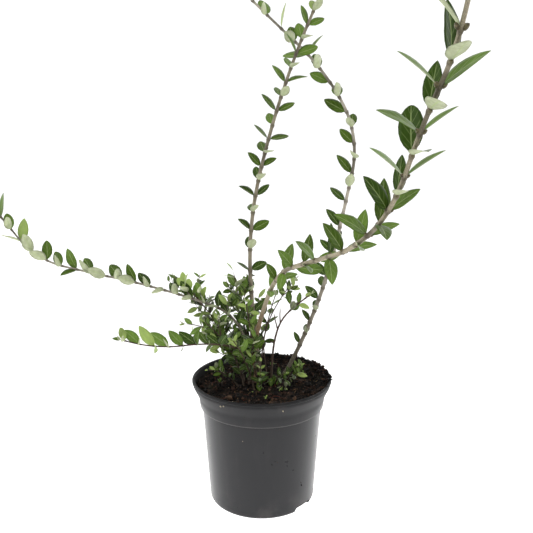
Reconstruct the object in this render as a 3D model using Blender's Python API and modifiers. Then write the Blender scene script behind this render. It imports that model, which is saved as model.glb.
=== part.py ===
"""Potted box honeysuckle: five long leafy shoots and a clump of low twigs in a round nursery pot.

The origin is at the middle of the pot's underside, +Z is up and the front faces -Y.
Tables are in millimetres and degrees, and everything that is built from them is in metres.
"""

import math
import random
from dataclasses import dataclass

import bmesh
import bpy
from mathutils import Matrix, Vector
from mathutils.bvhtree import BVHTree

# Units and clearances
MM = 0.001
GAP = 0.0003            # between two solids that rest on or meet each other
LEAF_GUARD = 0.0005     # room kept round a leaf where it passes another solid

# Pot
POT_HEIGHT = 0.120
RIM_RADIUS = 0.0655
LEDGE_HEIGHT = 0.0945   # the wall steps out here into the collar
LEDGE_TOP = 0.0960
COLLAR_WAIST = 0.1045   # the collar flares out from here to the rim
COLLAR_TOP = 0.111
FOOT_RADIUS = 0.0500
FOOT_ROUND = 0.004      # radius of the round between wall and foot
WALL = 0.0014
LIP_WIDTH = 0.0030
WALL_MARKS = (          # height and outer radius, straight between them
    (FOOT_ROUND, FOOT_RADIUS), (LEDGE_HEIGHT, 0.0557), (LEDGE_TOP, 0.0578),
    (COLLAR_WAIST, 0.0593), (COLLAR_TOP, 0.0640), (0.1135, 0.0650), (0.1185, RIM_RADIUS),
)
POT_SEGMENTS = 36
LIP_SEGMENTS = 4
FOOT_SEGMENTS = 3
NOTCH_WIDTH = 0.019
NOTCH_HEIGHT = 0.0055
NOTCH_BEARINGS = (-33.0, 147.0)
CENTRE_PAD_RADIUS = 0.032
FOOT_RING_INSIDE = 0.0450   # the underside is hollow between the centre pad and this
MOULD_SLOPE = 0.0012    # how far the hollow's walls lean in

# Soil
SOIL_SEGMENTS = 32
SOIL_LEVEL = 0.112
SOIL_RELIEF = 0.0016
SOIL_HEAP = 0.0045      # height of the heap against the rim
SOIL_HEAP_BEARING = 25.0
SOIL_HEAP_WIDTH = 50.0  # degrees to either side of it
STEM_PATCH_RADIUS = 0.034   # soil is level here, where the stems stand
SOIL_RINGS = (0, 0.018, STEM_PATCH_RADIUS, 0.042, 0.050, 0.058)

# Stems
PATH_STEPS = 120
TUBE_STEP = 0.014       # usual straight run of a stem
FLARE = 0.35            # how much wider a stem is where it enters the soil
FLARE_HEIGHT = 0.004
STEM_SIDES = 5
TWIG_SIDES = 3
SHARP_ANGLE = 75.0      # faces that meet at less are shaded as one round
THICK_STEM = 1.5        # a foot thicker than this, in millimetres, makes a long shoot

# Leaves
LEAF_WIDTH = 0.45       # of its length
LEAF_THICKNESS = 0.035  # of its length
ROOT_SINK = 0.0002      # how far past the stem's middle line a leaf's root is sunk
LIGHT = Vector((0.10, -0.80, 0.60)).normalized()   # where the blades turn to
LOST_LEAVES = 0.05      # share of the leaves that have fallen
LEAF_FLOOR = SOIL_LEVEL + 0.006   # no leaf reaches below this
SIDE_TWIG = (0.012, 0.020)   # shortest and longest twig out of a leaf's axil
SIDE_TWIG_RADIUS = 0.00045

POT_COLOUR = (0.045, 0.046, 0.050, 1.0)
SOIL_COLOUR = (0.030, 0.020, 0.014, 1.0)
BARK_COLOUR = (0.230, 0.160, 0.115, 1.0)
LEAF_COLOUR = (0.085, 0.210, 0.045, 1.0)


@dataclass
class Shoot:
    """One stem and what grows on it, in millimetres and degrees.

    bearings and rises are spread evenly along the stem: a bearing is counted from +X towards +Y,
    a rise from the level, and past 90 the stem leans back over itself. leaf and spacing run evenly
    from foot to tip too. parts names its solids from the soil to the tip, and cuts says where each
    ends, and seeds has one for each mass of leaves. spread is a leaf's angle to its stem, lift
    raises the leaves, light turns their faces to the light, though less where they point at it,
    flatten turns the pairs level, restless makes them less alike, and one_sided thins those that
    point to +X.
    """

    foot: tuple
    length: float
    bearings: tuple
    rises: tuple
    girth: tuple
    leaf: tuple
    spacing: tuple
    bare: float
    turn: float
    seeds: tuple
    parts: tuple
    cuts: tuple = ()
    spread: float = 62.0
    lift: float = 0.0
    light: float = 0.45
    flatten: float = 0.0
    restless: float = 1.0
    one_sided: float = 0.0
    branching: float = 0.0


LONG_SHOOTS = (
    Shoot(
        foot=(-1, 13), length=394, bearings=(-3, -4), rises=(98, 93, 77, 70, 62),
        girth=(4.2, 2.1), leaf=(12, 18, 19, 18), spacing=(20, 20.5, 12.5, 13, 11), bare=67, turn=14,
        seeds=(384, 904), spread=60, lift=0.15, light=0.75, cuts=(58, 215),
        parts=("stem_centre", "shoot_centre_low", "shoot_centre_high"),
    ),
    Shoot(
        foot=(22, 25), length=413, bearings=(25, 5, 17), rises=(58, 68, 77, 79, 121, 140, 138),
        girth=(4.0, 2.0), leaf=(12, 18, 21, 22, 19), spacing=(12, 12, 12.6, 15.2, 16.5, 18),
        bare=33, turn=0, seeds=(1229, 1026, 717), spread=66, lift=0.3, light=0.75, one_sided=1.3,
        cuts=(27, 170, 290),
        parts=("stem_right", "shoot_right_low", "shoot_right_arch", "shoot_right_tip"),
    ),
    Shoot(
        foot=(-8, 5), length=500, bearings=(-76, -74, -64, -79, -86),
        rises=(93, 53, 44, 19, 19, 33, 54, 40, 72),
        girth=(4.3, 2.2), leaf=(17, 20, 23, 26, 27), spacing=(21, 21, 20.5, 20, 15, 16.5, 18),
        bare=126, turn=90, seeds=(1770, 2695, 490), spread=54, lift=0.4, light=0.12, restless=1.2,
        cuts=(118, 240, 370),
        parts=("stem_front", "shoot_front_low", "shoot_front_middle", "shoot_front_high"),
    ),
    Shoot(
        foot=(-10, 10), length=319, bearings=(196, 189, 195),
        rises=(90, 72, 23, 19, 15, 17, 56, 54),
        girth=(2.4, 1.5), leaf=(14, 19, 20), spacing=(13, 13.4), bare=58, turn=20,
        seeds=(1004, 827), spread=50, lift=0.6, light=0.7, flatten=0.4, restless=1.5,
        branching=0.14, cuts=(52, 190),
        parts=("stem_left", "shoot_left_inner", "shoot_left_outer"),
    ),
    Shoot(
        foot=(-12, 0), length=175, bearings=(245, 210), rises=(93, 23, 7, 26),
        girth=(1.7, 1.0), leaf=(10, 17, 20), spacing=(14, 14), bare=46, turn=0, seeds=(1592,),
        spread=52, lift=0.6, light=0.7, flatten=0.5, restless=1.5, cuts=(40,),
        parts=("stem_low", "shoot_low"),
    ),
)


def low_twig(number, foot, length, bearings, rises, leaf=(10, 15), bare=12, branching=0.18,
             girth=(1.4, 0.8)):
    """A thin twig of the clump round the stems' feet, which is one solid from the soil up."""
    return Shoot(
        foot=foot, length=length, bearings=bearings, rises=rises, girth=girth, leaf=leaf,
        spacing=(8, 10), bare=bare, turn=37.0 * number, seeds=(30 + number,), lift=0.2,
        light=0.6, restless=1.5, branching=branching, parts=(f"twig_{number:02d}",),
    )


LOW_TWIGS = (
    low_twig(1, (-10, 20), 108, (190, 203), (86, 79, 79), leaf=(10, 24)),
    low_twig(2, (9, 14), 98, (10, -5), (88, 86, 74, 42, 38), leaf=(14, 16), bare=73, branching=0,
             girth=(1.5, 1.1)),
    low_twig(3, (5, 15), 112, (190, 20, 10), (86, 66, 44), leaf=(9, 14), bare=84),
    low_twig(4, (-19, 14), 122, (182, 190), (74, 60, 42), leaf=(10, 18)),
    low_twig(5, (-16, 5), 92, (200, 200), (82, 52, 8), leaf=(12, 18), bare=22),
    low_twig(6, (-22, -5), 42, (212, 220), (58, 14), leaf=(9, 9), bare=8),
    low_twig(7, (-1, -12), 38, (262, 280), (62, 24), leaf=(10, 10), bare=6),
    low_twig(8, (24, 8), 36, (-50, -70), (66, 24), leaf=(10, 10), bare=8),
    low_twig(9, (-17, -4), 80, (196, 214), (84, 58, 44)),
    low_twig(10, (-4, -6), 86, (215, 240), (84, 76)),
    low_twig(11, (-5, 30), 96, (170, 190), (82, 74, 70)),
    low_twig(12, (-2, 27), 84, (60, 30), (82, 74, 66), bare=24),
    low_twig(13, (-21, 22), 72, (165, 185), (74, 50)),
    low_twig(14, (-13, 28), 72, (140, 160), (70, 40)),
    low_twig(15, (12, -2), 34, (-75, -60), (56, 24), leaf=(10, 10), bare=8),
    low_twig(16, (-7, -14), 68, (232, 242), (76, 44)),
)


def blend(values, share):
    """The value at a share of the way along values that are spread evenly."""
    place = share * (len(values) - 1)
    low = min(int(place), len(values) - 2)
    return values[low] + (values[low + 1] - values[low]) * (place - low)


class Path:
    """A stem's middle line, walked in short steps, with a side vector carried along untwisted."""

    def __init__(self, foot, length, bearings, rises):
        self.length = length
        self.step = length / PATH_STEPS
        self.points = [foot]
        self.ways = []
        for index in range(PATH_STEPS):
            share = (index + 0.5) / PATH_STEPS
            bearing = math.radians(blend(bearings, share))
            rise = math.radians(blend(rises, share))
            level = math.cos(rise)
            way = Vector((level * math.cos(bearing), level * math.sin(bearing), math.sin(rise)))
            self.ways.append(way)
            self.points.append(self.points[-1] + way * self.step)
        self.sides = []
        side = Vector((1, 0, 0))
        for way in self.ways:
            side = (side - way * side.dot(way)).normalized()
            self.sides.append(side)

    def at(self, distance):
        """Point, direction and side vector at a distance from the foot; below it runs straight on."""
        place = distance / self.step
        index = max(0, min(int(place), PATH_STEPS - 1))
        point = self.points[index] + self.ways[index] * (place - index) * self.step
        return point, self.ways[index], self.sides[index]


@dataclass
class Leaf:
    """One leaf: where it leaves its stem, which way it points, where its upper face looks."""

    distance: float
    root: Vector
    along: Vector
    face: Vector
    length: float


@dataclass
class SideTwig:
    """A short twig out of a leaf's axil, with its own leaves."""

    distance: float
    path: Path
    leaves: list


@dataclass
class Section:
    """One solid's stretch of a shoot: its stem, and the leaves and side twigs that stand on it."""

    name: str
    shoot: Shoot
    path: Path
    start: float
    end: float
    leaves: list
    twigs: list


def path_of(shoot):
    foot = Vector((shoot.foot[0] * MM, shoot.foot[1] * MM, SOIL_LEVEL + GAP))
    return Path(foot, shoot.length * MM, shoot.bearings, shoot.rises)


def radius_at(shoot, path, distance):
    """Half the stem's thickness: an even taper, and a flare where it enters the soil."""
    share = max(0.0, distance / path.length)
    thickness = shoot.girth[0] + (shoot.girth[1] - shoot.girth[0]) * share
    flare = 1 + FLARE * math.exp(-max(0.0, distance) / FLARE_HEIGHT)
    return 0.5 * MM * thickness * flare


def pair_line(way, side, turn, flatten):
    """The line across the stem on which a pair stands; flatten turns it towards the level."""
    out = Matrix.Rotation(math.radians(turn), 3, way) @ side
    level = way.cross(Vector((0, 0, 1)))
    if flatten == 0 or level.length < 0.2:
        return out
    level.normalize()
    upright = level.cross(way)
    angle = math.atan2(out.dot(upright), out.dot(level)) % math.pi
    if angle <= math.pi / 2:
        angle *= 1 - flatten
    else:
        angle = math.pi - (math.pi - angle) * (1 - flatten)
    return level * math.cos(angle) + upright * math.sin(angle)


def leaf_pair(path, distance, turn, size, shoot, dice):
    """Two leaves that face each other across the stem, each a little different."""
    root, way, side = path.at(distance)
    line = pair_line(way, side, turn, shoot.flatten)
    pair = []
    for hand in (1, -1):
        spread = math.radians(shoot.spread + dice.uniform(-14, 14) * shoot.restless)
        along = way * math.cos(spread) + line * hand * math.sin(spread)
        along += Vector((0, 0, shoot.lift + dice.uniform(-0.15, 0.15) * shoot.restless))
        along.normalize()
        own = (way - along * way.dot(along)).normalized()
        lit = (LIGHT - along * LIGHT.dot(along)).normalized()
        turned = shoot.light * (1 - max(0.0, along.dot(LIGHT)) ** 2)
        face = own.lerp(lit, turned).normalized()
        roll = math.radians(dice.uniform(-22, 22) * shoot.restless)
        face = Matrix.Rotation(roll, 3, along) @ face
        length = size * dice.uniform(0.85, 1.12)
        if dice.random() > LOST_LEAVES + shoot.one_sided * max(0.0, along.x):
            pair.append(Leaf(distance, root, along, face, length))
    return pair


def grow(shoot):
    """Leaves and side twigs, each mass drawn by its own seed: each pair stands across the last."""
    path = path_of(shoot)
    ends = [cut * MM for cut in shoot.cuts[1:]] + [path.length - 0.002]
    leaves = []
    side_twigs = []
    distance = shoot.bare * MM
    turn = shoot.turn
    for seed, end in zip(shoot.seeds, ends):
        dice = random.Random(seed)
        while distance < end:
            share = distance / path.length
            size = blend(shoot.leaf, share) * MM
            closing = min(1.0, 0.45 + (path.length - distance) / 0.040)
            pair = leaf_pair(path, distance, turn + dice.uniform(-9, 9), size * closing, shoot, dice)
            leaves += pair
            if dice.random() < shoot.branching and pair and share < 0.75:
                side_twigs.append(side_twig(shoot, path, pair[0], dice))
            distance += blend(shoot.spacing, share) * MM * (0.55 + 0.45 * closing)
            turn += 90
    return path, leaves, side_twigs


def side_twig(shoot, path, leaf, dice):
    """A twig that leaves the stem beside a leaf and turns upwards, with two or three pairs."""
    way = path.at(leaf.distance)[1]
    start = (leaf.along + way * 0.6 + Vector((0, 0, 0.2))).normalized()
    bearing = math.degrees(math.atan2(start.y, start.x))
    rise = math.degrees(math.asin(start.z))
    length = dice.uniform(*SIDE_TWIG)
    twig = Path(leaf.root, length, (bearing, bearing), (rise, min(rise + 25, 85)))
    leaves = []
    turn = dice.uniform(0, 90)
    distance = 0.55 * length
    while distance < length:
        leaves += leaf_pair(twig, distance, turn, leaf.length * 0.72, shoot, dice)
        distance += 0.4 * length
        turn += 90
    return SideTwig(leaf.distance, twig, leaves)


# Scene, materials and mesh helpers
def clear_scene():
    for obj in list(bpy.data.objects):
        bpy.data.objects.remove(obj)


def new_collection(name):
    collection = bpy.data.collections.new(name)
    bpy.context.scene.collection.children.link(collection)
    return collection


def make_material(name, colour, roughness):
    material = bpy.data.materials.new(name)
    material.use_nodes = True
    shader = material.node_tree.nodes["Principled BSDF"]
    shader.inputs["Base Color"].default_value = colour
    shader.inputs["Roughness"].default_value = roughness
    shader.inputs["Metallic"].default_value = 0.0
    material.diffuse_color = colour
    return material


def new_object(name, mesh, collection, material=None):
    obj = bpy.data.objects.new(name, mesh)
    collection.objects.link(obj)
    if material is not None:
        mesh.materials.clear()
        mesh.materials.append(material)
    return obj


def baked(obj):
    """Replace an object's mesh by its evaluated one, so that no modifier is left."""
    depsgraph = bpy.context.evaluated_depsgraph_get()
    mesh = bpy.data.meshes.new_from_object(obj.evaluated_get(depsgraph))
    obj.modifiers.clear()
    obj.data = mesh
    return obj


def turned(name, profile, segments, collection, material):
    """A solid of revolution; the profile starts and ends on the axis and runs down its outer side."""
    mesh = bpy.data.meshes.new(name)
    edges = [(index, index + 1) for index in range(len(profile) - 1)]
    mesh.from_pydata([(radius, 0, height) for radius, height in profile], edges, [])
    obj = new_object(name, mesh, collection, material)
    screw = obj.modifiers.new("Turn", "SCREW")
    screw.steps = segments
    screw.render_steps = segments
    screw.use_merge_vertices = True
    screw.merge_threshold = 0.00005
    return obj


def arc(middle, radius, start, end, count):
    """Points round an arc, angles in degrees from the outward radius."""
    points = []
    for index in range(count + 1):
        angle = math.radians(start + (end - start) * index / count)
        points.append((middle[0] + radius * math.cos(angle), middle[1] + radius * math.sin(angle)))
    return points


# Pot
def wall_radius(height):
    """The pot's outer radius at a height: a straight taper, a ledge, a collar and a flared rim."""
    for (low, inner), (high, outer) in zip(WALL_MARKS, WALL_MARKS[1:]):
        if height <= high:
            return inner + (outer - inner) * (height - low) / (high - low)
    return RIM_RADIUS


def cavity_radius(height):
    return wall_radius(height) - WALL


def pot_profile():
    """Half the pot's section, from the floor's middle over the rim to the underside's middle."""
    raised_floor = NOTCH_HEIGHT + WALL
    inside = [(0, WALL), (CENTRE_PAD_RADIUS - MOULD_SLOPE, WALL), (CENTRE_PAD_RADIUS, raised_floor)]
    for height in (raised_floor, LEDGE_HEIGHT, LEDGE_TOP, COLLAR_WAIST, COLLAR_TOP):
        inside.append((cavity_radius(height), height))
    lip_middle = (RIM_RADIUS - LIP_WIDTH / 2, POT_HEIGHT - LIP_WIDTH / 2)
    lip = arc(lip_middle, LIP_WIDTH / 2, 180, 0, LIP_SEGMENTS)
    outside = [(radius, height) for height, radius in reversed(WALL_MARKS[1:-1])]
    foot = arc((FOOT_RADIUS - FOOT_ROUND, FOOT_ROUND), FOOT_ROUND, 0, -90, FOOT_SEGMENTS)
    hollow_start = FOOT_RING_INSIDE - MOULD_SLOPE
    hollow_end = CENTRE_PAD_RADIUS + 2 * MOULD_SLOPE
    underside = [
        (FOOT_RING_INSIDE, 0), (hollow_start, NOTCH_HEIGHT), (hollow_end, NOTCH_HEIGHT),
        (hollow_end - MOULD_SLOPE, 0), (0, 0),
    ]
    return inside + lip + outside + foot + underside


def make_pot(collection, cutters, material):
    pot = turned("pot", pot_profile(), POT_SEGMENTS, collection, material)
    for number, bearing in enumerate(NOTCH_BEARINGS, 1):
        mesh = bpy.data.meshes.new(f"notch_{number}")
        shape = bmesh.new()
        bmesh.ops.create_cube(shape, size=1.0)
        depth = 3 * (FOOT_RADIUS - FOOT_RING_INSIDE)
        bmesh.ops.scale(shape, vec=(depth, NOTCH_WIDTH, 2 * (NOTCH_HEIGHT - GAP)), verts=shape.verts)
        bmesh.ops.translate(shape, vec=(FOOT_RADIUS, 0, 0), verts=shape.verts)
        bmesh.ops.rotate(shape, cent=(0, 0, 0), verts=shape.verts,
                         matrix=Matrix.Rotation(math.radians(bearing), 3, "Z"))
        shape.to_mesh(mesh)
        shape.free()
        cutter = new_object(f"notch_{number}", mesh, cutters)
        cutter.hide_render = True
        cutter.display_type = "WIRE"
        cut = pot.modifiers.new(f"Notch {number}", "BOOLEAN")
        cut.operation = "DIFFERENCE"
        cut.object = cutter


# Soil
def soil_height(x, y):
    """The soil's surface: level where the stems stand, rough elsewhere, heaped at one side."""
    radius = math.hypot(x, y)
    rough = min(1.0, max(0.0, (radius - STEM_PATCH_RADIUS) / 0.010))
    wave = (math.sin(x * 310 + 1.3) * math.cos(y * 270 - 0.4) + 0.6 * math.sin((x - y) * 520)) / 1.6
    bearing = math.degrees(math.atan2(y, x))
    away = abs((bearing - SOIL_HEAP_BEARING + 180) % 360 - 180)
    heap = max(0.0, 1 - away / SOIL_HEAP_WIDTH)
    return SOIL_LEVEL + rough * (SOIL_RELIEF * wave + SOIL_HEAP * heap)


def make_soil(collection, material):
    """The filling: it follows the pot's inside, one gap clear of it."""
    top = [(radius, SOIL_LEVEL) for radius in SOIL_RINGS]
    side = [(cavity_radius(height) - GAP, height)
            for height in (COLLAR_TOP, COLLAR_WAIST, LEDGE_TOP, LEDGE_HEIGHT)]
    raised = NOTCH_HEIGHT + WALL + GAP
    side.append((cavity_radius(raised) - GAP, raised))
    bottom = [
        (CENTRE_PAD_RADIUS - GAP, raised), (CENTRE_PAD_RADIUS - MOULD_SLOPE - GAP, WALL + GAP),
        (0, WALL + GAP),
    ]
    soil = baked(turned("soil", top + side + bottom, SOIL_SEGMENTS, collection, material))
    for vertex in soil.data.vertices:
        if vertex.co.z > SOIL_LEVEL - GAP:
            vertex.co.z = soil_height(vertex.co.x, vertex.co.y)


# Stems and leaves
def tube_section(sides):
    """The cross-section that a stem's curve is bevelled with, one unit in radius."""
    curve = bpy.data.curves.new(f"section_{sides}", "CURVE")
    curve.dimensions = "2D"
    spline = curve.splines.new("POLY")
    spline.points.add(sides - 1)
    for index, point in enumerate(spline.points):
        angle = 2 * math.pi * index / sides
        point.co = (math.cos(angle), math.sin(angle), 0, 1)
    spline.use_cyclic_u = True
    return bpy.data.objects.new(f"section_{sides}", curve)


def stations(start, end, leaves):
    """Where a stem's tube has its rings: at both ends, and midway between leaf pairs."""
    nodes = sorted({leaf.distance for leaf in leaves})
    marks = [start] + [(low + high) / 2 for low, high in zip(nodes, nodes[1:])] + [end]
    places = [start]
    for low, high in zip(marks, marks[1:]):
        count = max(1, round((high - low) / TUBE_STEP))
        places += [low + (high - low) * index / count for index in range(1, count + 1)]
    return places


def seat_leaves(path, places, leaves):
    """Move each leaf's root onto the straight run of tube that it stands on."""
    for leaf in leaves:
        for low, high in zip(places, places[1:]):
            if low <= leaf.distance <= high:
                share = (leaf.distance - low) / (high - low)
                leaf.root = path.at(low)[0].lerp(path.at(high)[0], share)


def tube(name, path, distances, radius, section, cutters, collection):
    """A tapering stem with a ring at each of the distances, as a closed mesh."""
    curve = bpy.data.curves.new(name, "CURVE")
    curve.dimensions = "3D"
    curve.bevel_mode = "OBJECT"
    curve.bevel_object = section
    curve.use_fill_caps = True
    spline = curve.splines.new("POLY")
    spline.points.add(len(distances) - 1)
    for point, distance in zip(spline.points, distances):
        place = path.at(distance)[0]
        point.co = (*place, 1)
        point.radius = radius(distance)
    drawn = bpy.data.objects.new(name, curve)
    cutters.objects.link(drawn)
    depsgraph = bpy.context.evaluated_depsgraph_get()
    mesh = bpy.data.meshes.new_from_object(drawn.evaluated_get(depsgraph))
    bpy.data.objects.remove(drawn)
    shape = bmesh.new()
    shape.from_mesh(mesh)
    bmesh.ops.remove_doubles(shape, verts=shape.verts, dist=0.000005)
    bmesh.ops.recalc_face_normals(shape, faces=shape.faces)
    shape.to_mesh(mesh)
    shape.free()
    return new_object(name, mesh, collection)


def cut_level(obj, height):
    """Cut a stem's foot flat and level where it enters the soil."""
    shape = bmesh.new()
    shape.from_mesh(obj.data)
    geometry = shape.verts[:] + shape.edges[:] + shape.faces[:]
    bmesh.ops.bisect_plane(shape, geom=geometry, plane_co=(0, 0, height), plane_no=(0, 0, 1),
                           clear_inner=True)
    bmesh.ops.holes_fill(shape, edges=[edge for edge in shape.edges if edge.is_boundary])
    bmesh.ops.recalc_face_normals(shape, faces=shape.faces)
    shape.to_mesh(obj.data)
    shape.free()


def leaf_mesh(name, sides):
    """A leaf one unit long along +X, ovate, thickest in its middle: a flattened, stretched bead."""
    mesh = bpy.data.meshes.new(name)
    shape = bmesh.new()
    bmesh.ops.create_uvsphere(shape, u_segments=sides, v_segments=2, radius=1.0)
    for vertex in shape.verts:
        across, along, up = -vertex.co.x, vertex.co.y, vertex.co.z
        if abs(up) > 0.5:
            vertex.co = (0.42, 0, math.copysign(LEAF_THICKNESS / 2, up))
        else:
            broad = LEAF_WIDTH / 2 * (1.1 - 0.15 * along)
            vertex.co = (((1 + along) / 2) ** 1.2, across * broad, 0)
    shape.to_mesh(mesh)
    shape.free()
    return mesh


def leaf_matrix(leaf, bigger=0.0):
    """Where a unit leaf goes; bigger swells it on all sides, for the test against neighbours."""
    across = leaf.face.cross(leaf.along)
    turn = Matrix((leaf.along, across, leaf.face)).transposed().to_4x4()
    sunk = Matrix.Translation(leaf.root - leaf.along * ROOT_SINK)
    length = leaf.length
    if not bigger:
        return sunk @ turn @ Matrix.Scale(length, 4)
    size = Matrix.Diagonal((
        length + bigger, length + 2 * bigger / LEAF_WIDTH, length + 2 * bigger / LEAF_THICKNESS, 1))
    return sunk @ turn @ size


def tree_of(mesh, matrix=None):
    """A search tree of a mesh's faces, to find what overlaps it."""
    points = [matrix @ vertex.co if matrix else vertex.co.copy() for vertex in mesh.vertices]
    faces = [tuple(polygon.vertices) for polygon in mesh.polygons]
    return BVHTree.FromPolygons(points, faces)


def join(base, pieces, material):
    """Unite a stem with the leaves and side twigs that are sunk into it, as one closed body."""
    if pieces:
        group = new_collection("Pieces")
        for piece in pieces:
            group.objects.link(piece)
        union = base.modifiers.new("Union", "BOOLEAN")
        union.operation = "UNION"
        union.operand_type = "COLLECTION"
        union.collection = group
        union.solver = "MANIFOLD"
        baked(base)
        for piece in pieces:
            bpy.data.objects.remove(piece)
        bpy.data.collections.remove(group)
    base.data.materials.clear()
    base.data.materials.append(material)
    base.data.shade_smooth()
    base.data.set_sharp_from_angle(angle=math.radians(SHARP_ANGLE))


def meets(tree, others):
    return any(tree.overlap(other) for other in others)


def middle_of_gap(leaves, near):
    """The place between two leaf pairs that is closest to a distance, where a stem may be parted."""
    places = sorted({leaf.distance for leaf in leaves})
    places = [places[0] - 0.008] + places
    middles = [(low + high) / 2 for low, high in zip(places, places[1:])]
    return min(middles, key=lambda middle: abs(middle - near))


def between(growth, start, end):
    return [item for item in growth if start < item.distance < end]


def sections_of(shoot):
    """A shoot's solids in order, one gap clear of each other."""
    path, leaves, twigs = grow(shoot)
    ends = [middle_of_gap(leaves, cut * MM) for cut in shoot.cuts] + [path.length]
    start = -0.003
    sections = []
    for name, end in zip(shoot.parts, ends):
        stop = end - GAP / 2 if end < path.length else end
        own_leaves = between(leaves, start, stop)
        own_twigs = between(twigs, start, stop)
        sections.append(Section(name, shoot, path, start, stop, own_leaves, own_twigs))
        start = end + GAP / 2
    return sections


def section_stem(section, tube_sections, cutters, collection):
    """The bare stem of a section, cut level where it stands on the soil."""
    shoot, path = section.shoot, section.path
    sides = STEM_SIDES if shoot.girth[0] > THICK_STEM else TWIG_SIDES
    places = stations(section.start, section.end, section.leaves)
    seat_leaves(path, places, section.leaves)
    stem = tube(section.name, path, places, lambda distance: radius_at(shoot, path, distance),
                tube_sections[sides], cutters, collection)
    if section.start < 0:
        cut_level(stem, SOIL_LEVEL + GAP)
    return stem


def grow_plant(collection, cutters, bark, foliage):
    """Every stem first, then leaves and side twigs wherever they stay clear of the other solids."""
    tube_sections = {sides: tube_section(sides) for sides in (STEM_SIDES, TWIG_SIDES)}
    for obj in tube_sections.values():
        cutters.objects.link(obj)
        obj.hide_render = True
        obj.display_type = "WIRE"
    sections = [part for shoot in LONG_SHOOTS + LOW_TWIGS for part in sections_of(shoot)]
    stems = {part.name: section_stem(part, tube_sections, cutters, collection) for part in sections}
    grown = {name: [tree_of(stem.data)] for name, stem in stems.items()}
    blades = {True: leaf_mesh("long_shoot_leaf", 6), False: leaf_mesh("twig_leaf", 4)}
    for part in sections:
        blade = blades[part.shoot.girth[0] > THICK_STEM]
        others = [tree for name in grown if name != part.name for tree in grown[name]]
        pieces = []
        for twig in part.twigs:
            places = stations(-ROOT_SINK, twig.path.length, twig.leaves)
            seat_leaves(twig.path, places, twig.leaves)
            side = tube("side_twig", twig.path, places, lambda distance: SIDE_TWIG_RADIUS,
                        tube_sections[TWIG_SIDES], cutters, collection)
            if meets(tree_of(side.data), others):
                bpy.data.objects.remove(side)
                continue
            pieces.append(side)
            grown[part.name].append(tree_of(side.data))
            part.leaves += twig.leaves
        for leaf in part.leaves:
            tip = leaf.root + leaf.along * leaf.length
            guard = tree_of(blade, leaf_matrix(leaf, LEAF_GUARD))
            if tip.z < LEAF_FLOOR or meets(guard, others):
                continue
            piece = bpy.data.objects.new("leaf", blade)
            piece.matrix_world = leaf_matrix(leaf)
            pieces.append(piece)
            grown[part.name].append(tree_of(blade, leaf_matrix(leaf)))
        for piece in pieces:
            for home in piece.users_collection:
                home.objects.unlink(piece)
        material = foliage if part.leaves else bark
        join(stems[part.name], pieces, material)


def main():
    clear_scene()
    plant = new_collection("Potted box honeysuckle")
    cutters = new_collection("Cutters")
    plastic = make_material("pot_plastic", POT_COLOUR, 0.42)
    earth = make_material("potting_soil", SOIL_COLOUR, 0.95)
    bark = make_material("bark", BARK_COLOUR, 0.75)
    foliage = make_material("foliage", LEAF_COLOUR, 0.40)
    make_pot(plant, cutters, plastic)
    make_soil(plant, earth)
    grow_plant(plant, cutters, bark, foliage)


main()
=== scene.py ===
import math
import random
from dataclasses import dataclass, replace
from functools import lru_cache

import bmesh
import bpy
from bpy.props import FloatProperty, FloatVectorProperty, IntProperty, PointerProperty
from mathutils import Matrix, Vector, noise
from mathutils.bvhtree import BVHTree


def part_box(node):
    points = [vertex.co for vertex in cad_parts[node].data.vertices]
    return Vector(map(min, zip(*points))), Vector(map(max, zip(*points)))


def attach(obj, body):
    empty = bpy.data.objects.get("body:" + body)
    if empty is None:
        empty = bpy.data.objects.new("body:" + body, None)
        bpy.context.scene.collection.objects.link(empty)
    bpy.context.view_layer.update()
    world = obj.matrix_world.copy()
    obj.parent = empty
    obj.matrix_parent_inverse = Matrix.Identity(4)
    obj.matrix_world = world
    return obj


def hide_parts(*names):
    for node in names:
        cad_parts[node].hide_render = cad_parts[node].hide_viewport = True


# The looks of a potted box honeysuckle: its pot, soil, stems, leaves and studio.
# The origin is at the middle of the pot's underside, +Z is up and the front faces -Y.
# The tables of shoots, twigs and sprouts are in millimetres; all other lengths are in metres.
# Angles are in degrees.

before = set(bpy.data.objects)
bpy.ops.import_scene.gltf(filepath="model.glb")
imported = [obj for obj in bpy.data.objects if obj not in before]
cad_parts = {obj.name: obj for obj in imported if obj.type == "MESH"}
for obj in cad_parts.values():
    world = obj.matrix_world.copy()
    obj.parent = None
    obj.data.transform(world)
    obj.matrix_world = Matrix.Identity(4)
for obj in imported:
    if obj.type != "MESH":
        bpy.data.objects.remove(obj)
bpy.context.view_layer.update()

bl_info = {
    "name": "Potted box honeysuckle",
    "version": (1, 0, 0),
    "blender": (4, 5, 0),
    "location": "3D View > Sidebar > Honeysuckle",
    "description": "Pot, soil, stems, leaves and studio of a potted box honeysuckle",
    "category": "Add Mesh",
}

MM = 0.001
MERGE = 0.000002

# Sizes of the pot
POT_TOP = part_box("pot")[1]
POT_HEIGHT = POT_TOP[2]
RIM_RADIUS = POT_TOP[0]
WALL = 0.0014
LIP_WIDTH = 0.0030
LIP_TUCK = 0.0006       # how far the wall turns in again under the lip
FOOT_RADIUS = 0.0500
FOOT_ROUND = 0.004
LEDGE_HEIGHT = 0.0945
LEDGE_TOP = 0.0960
COLLAR_WAIST = 0.1045
COLLAR_TOP = 0.113
WALL_MARKS = (          # height and outer radius
    (FOOT_ROUND, FOOT_RADIUS), (LEDGE_HEIGHT, 0.0562), (LEDGE_TOP, 0.0585),
    (COLLAR_WAIST, 0.0595), (COLLAR_TOP, 0.0637), (0.116, 0.0650), (0.1185, RIM_RADIUS),
)
NOTCH_WIDTH = 0.0225
NOTCH_HEIGHT = 0.0055
NOTCH_ROUND = 0.003
NOTCH_BEARINGS = (-38.5, 141.5)
CENTRE_PAD_RADIUS = 0.032
FOOT_RING_INSIDE = 0.0450
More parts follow.
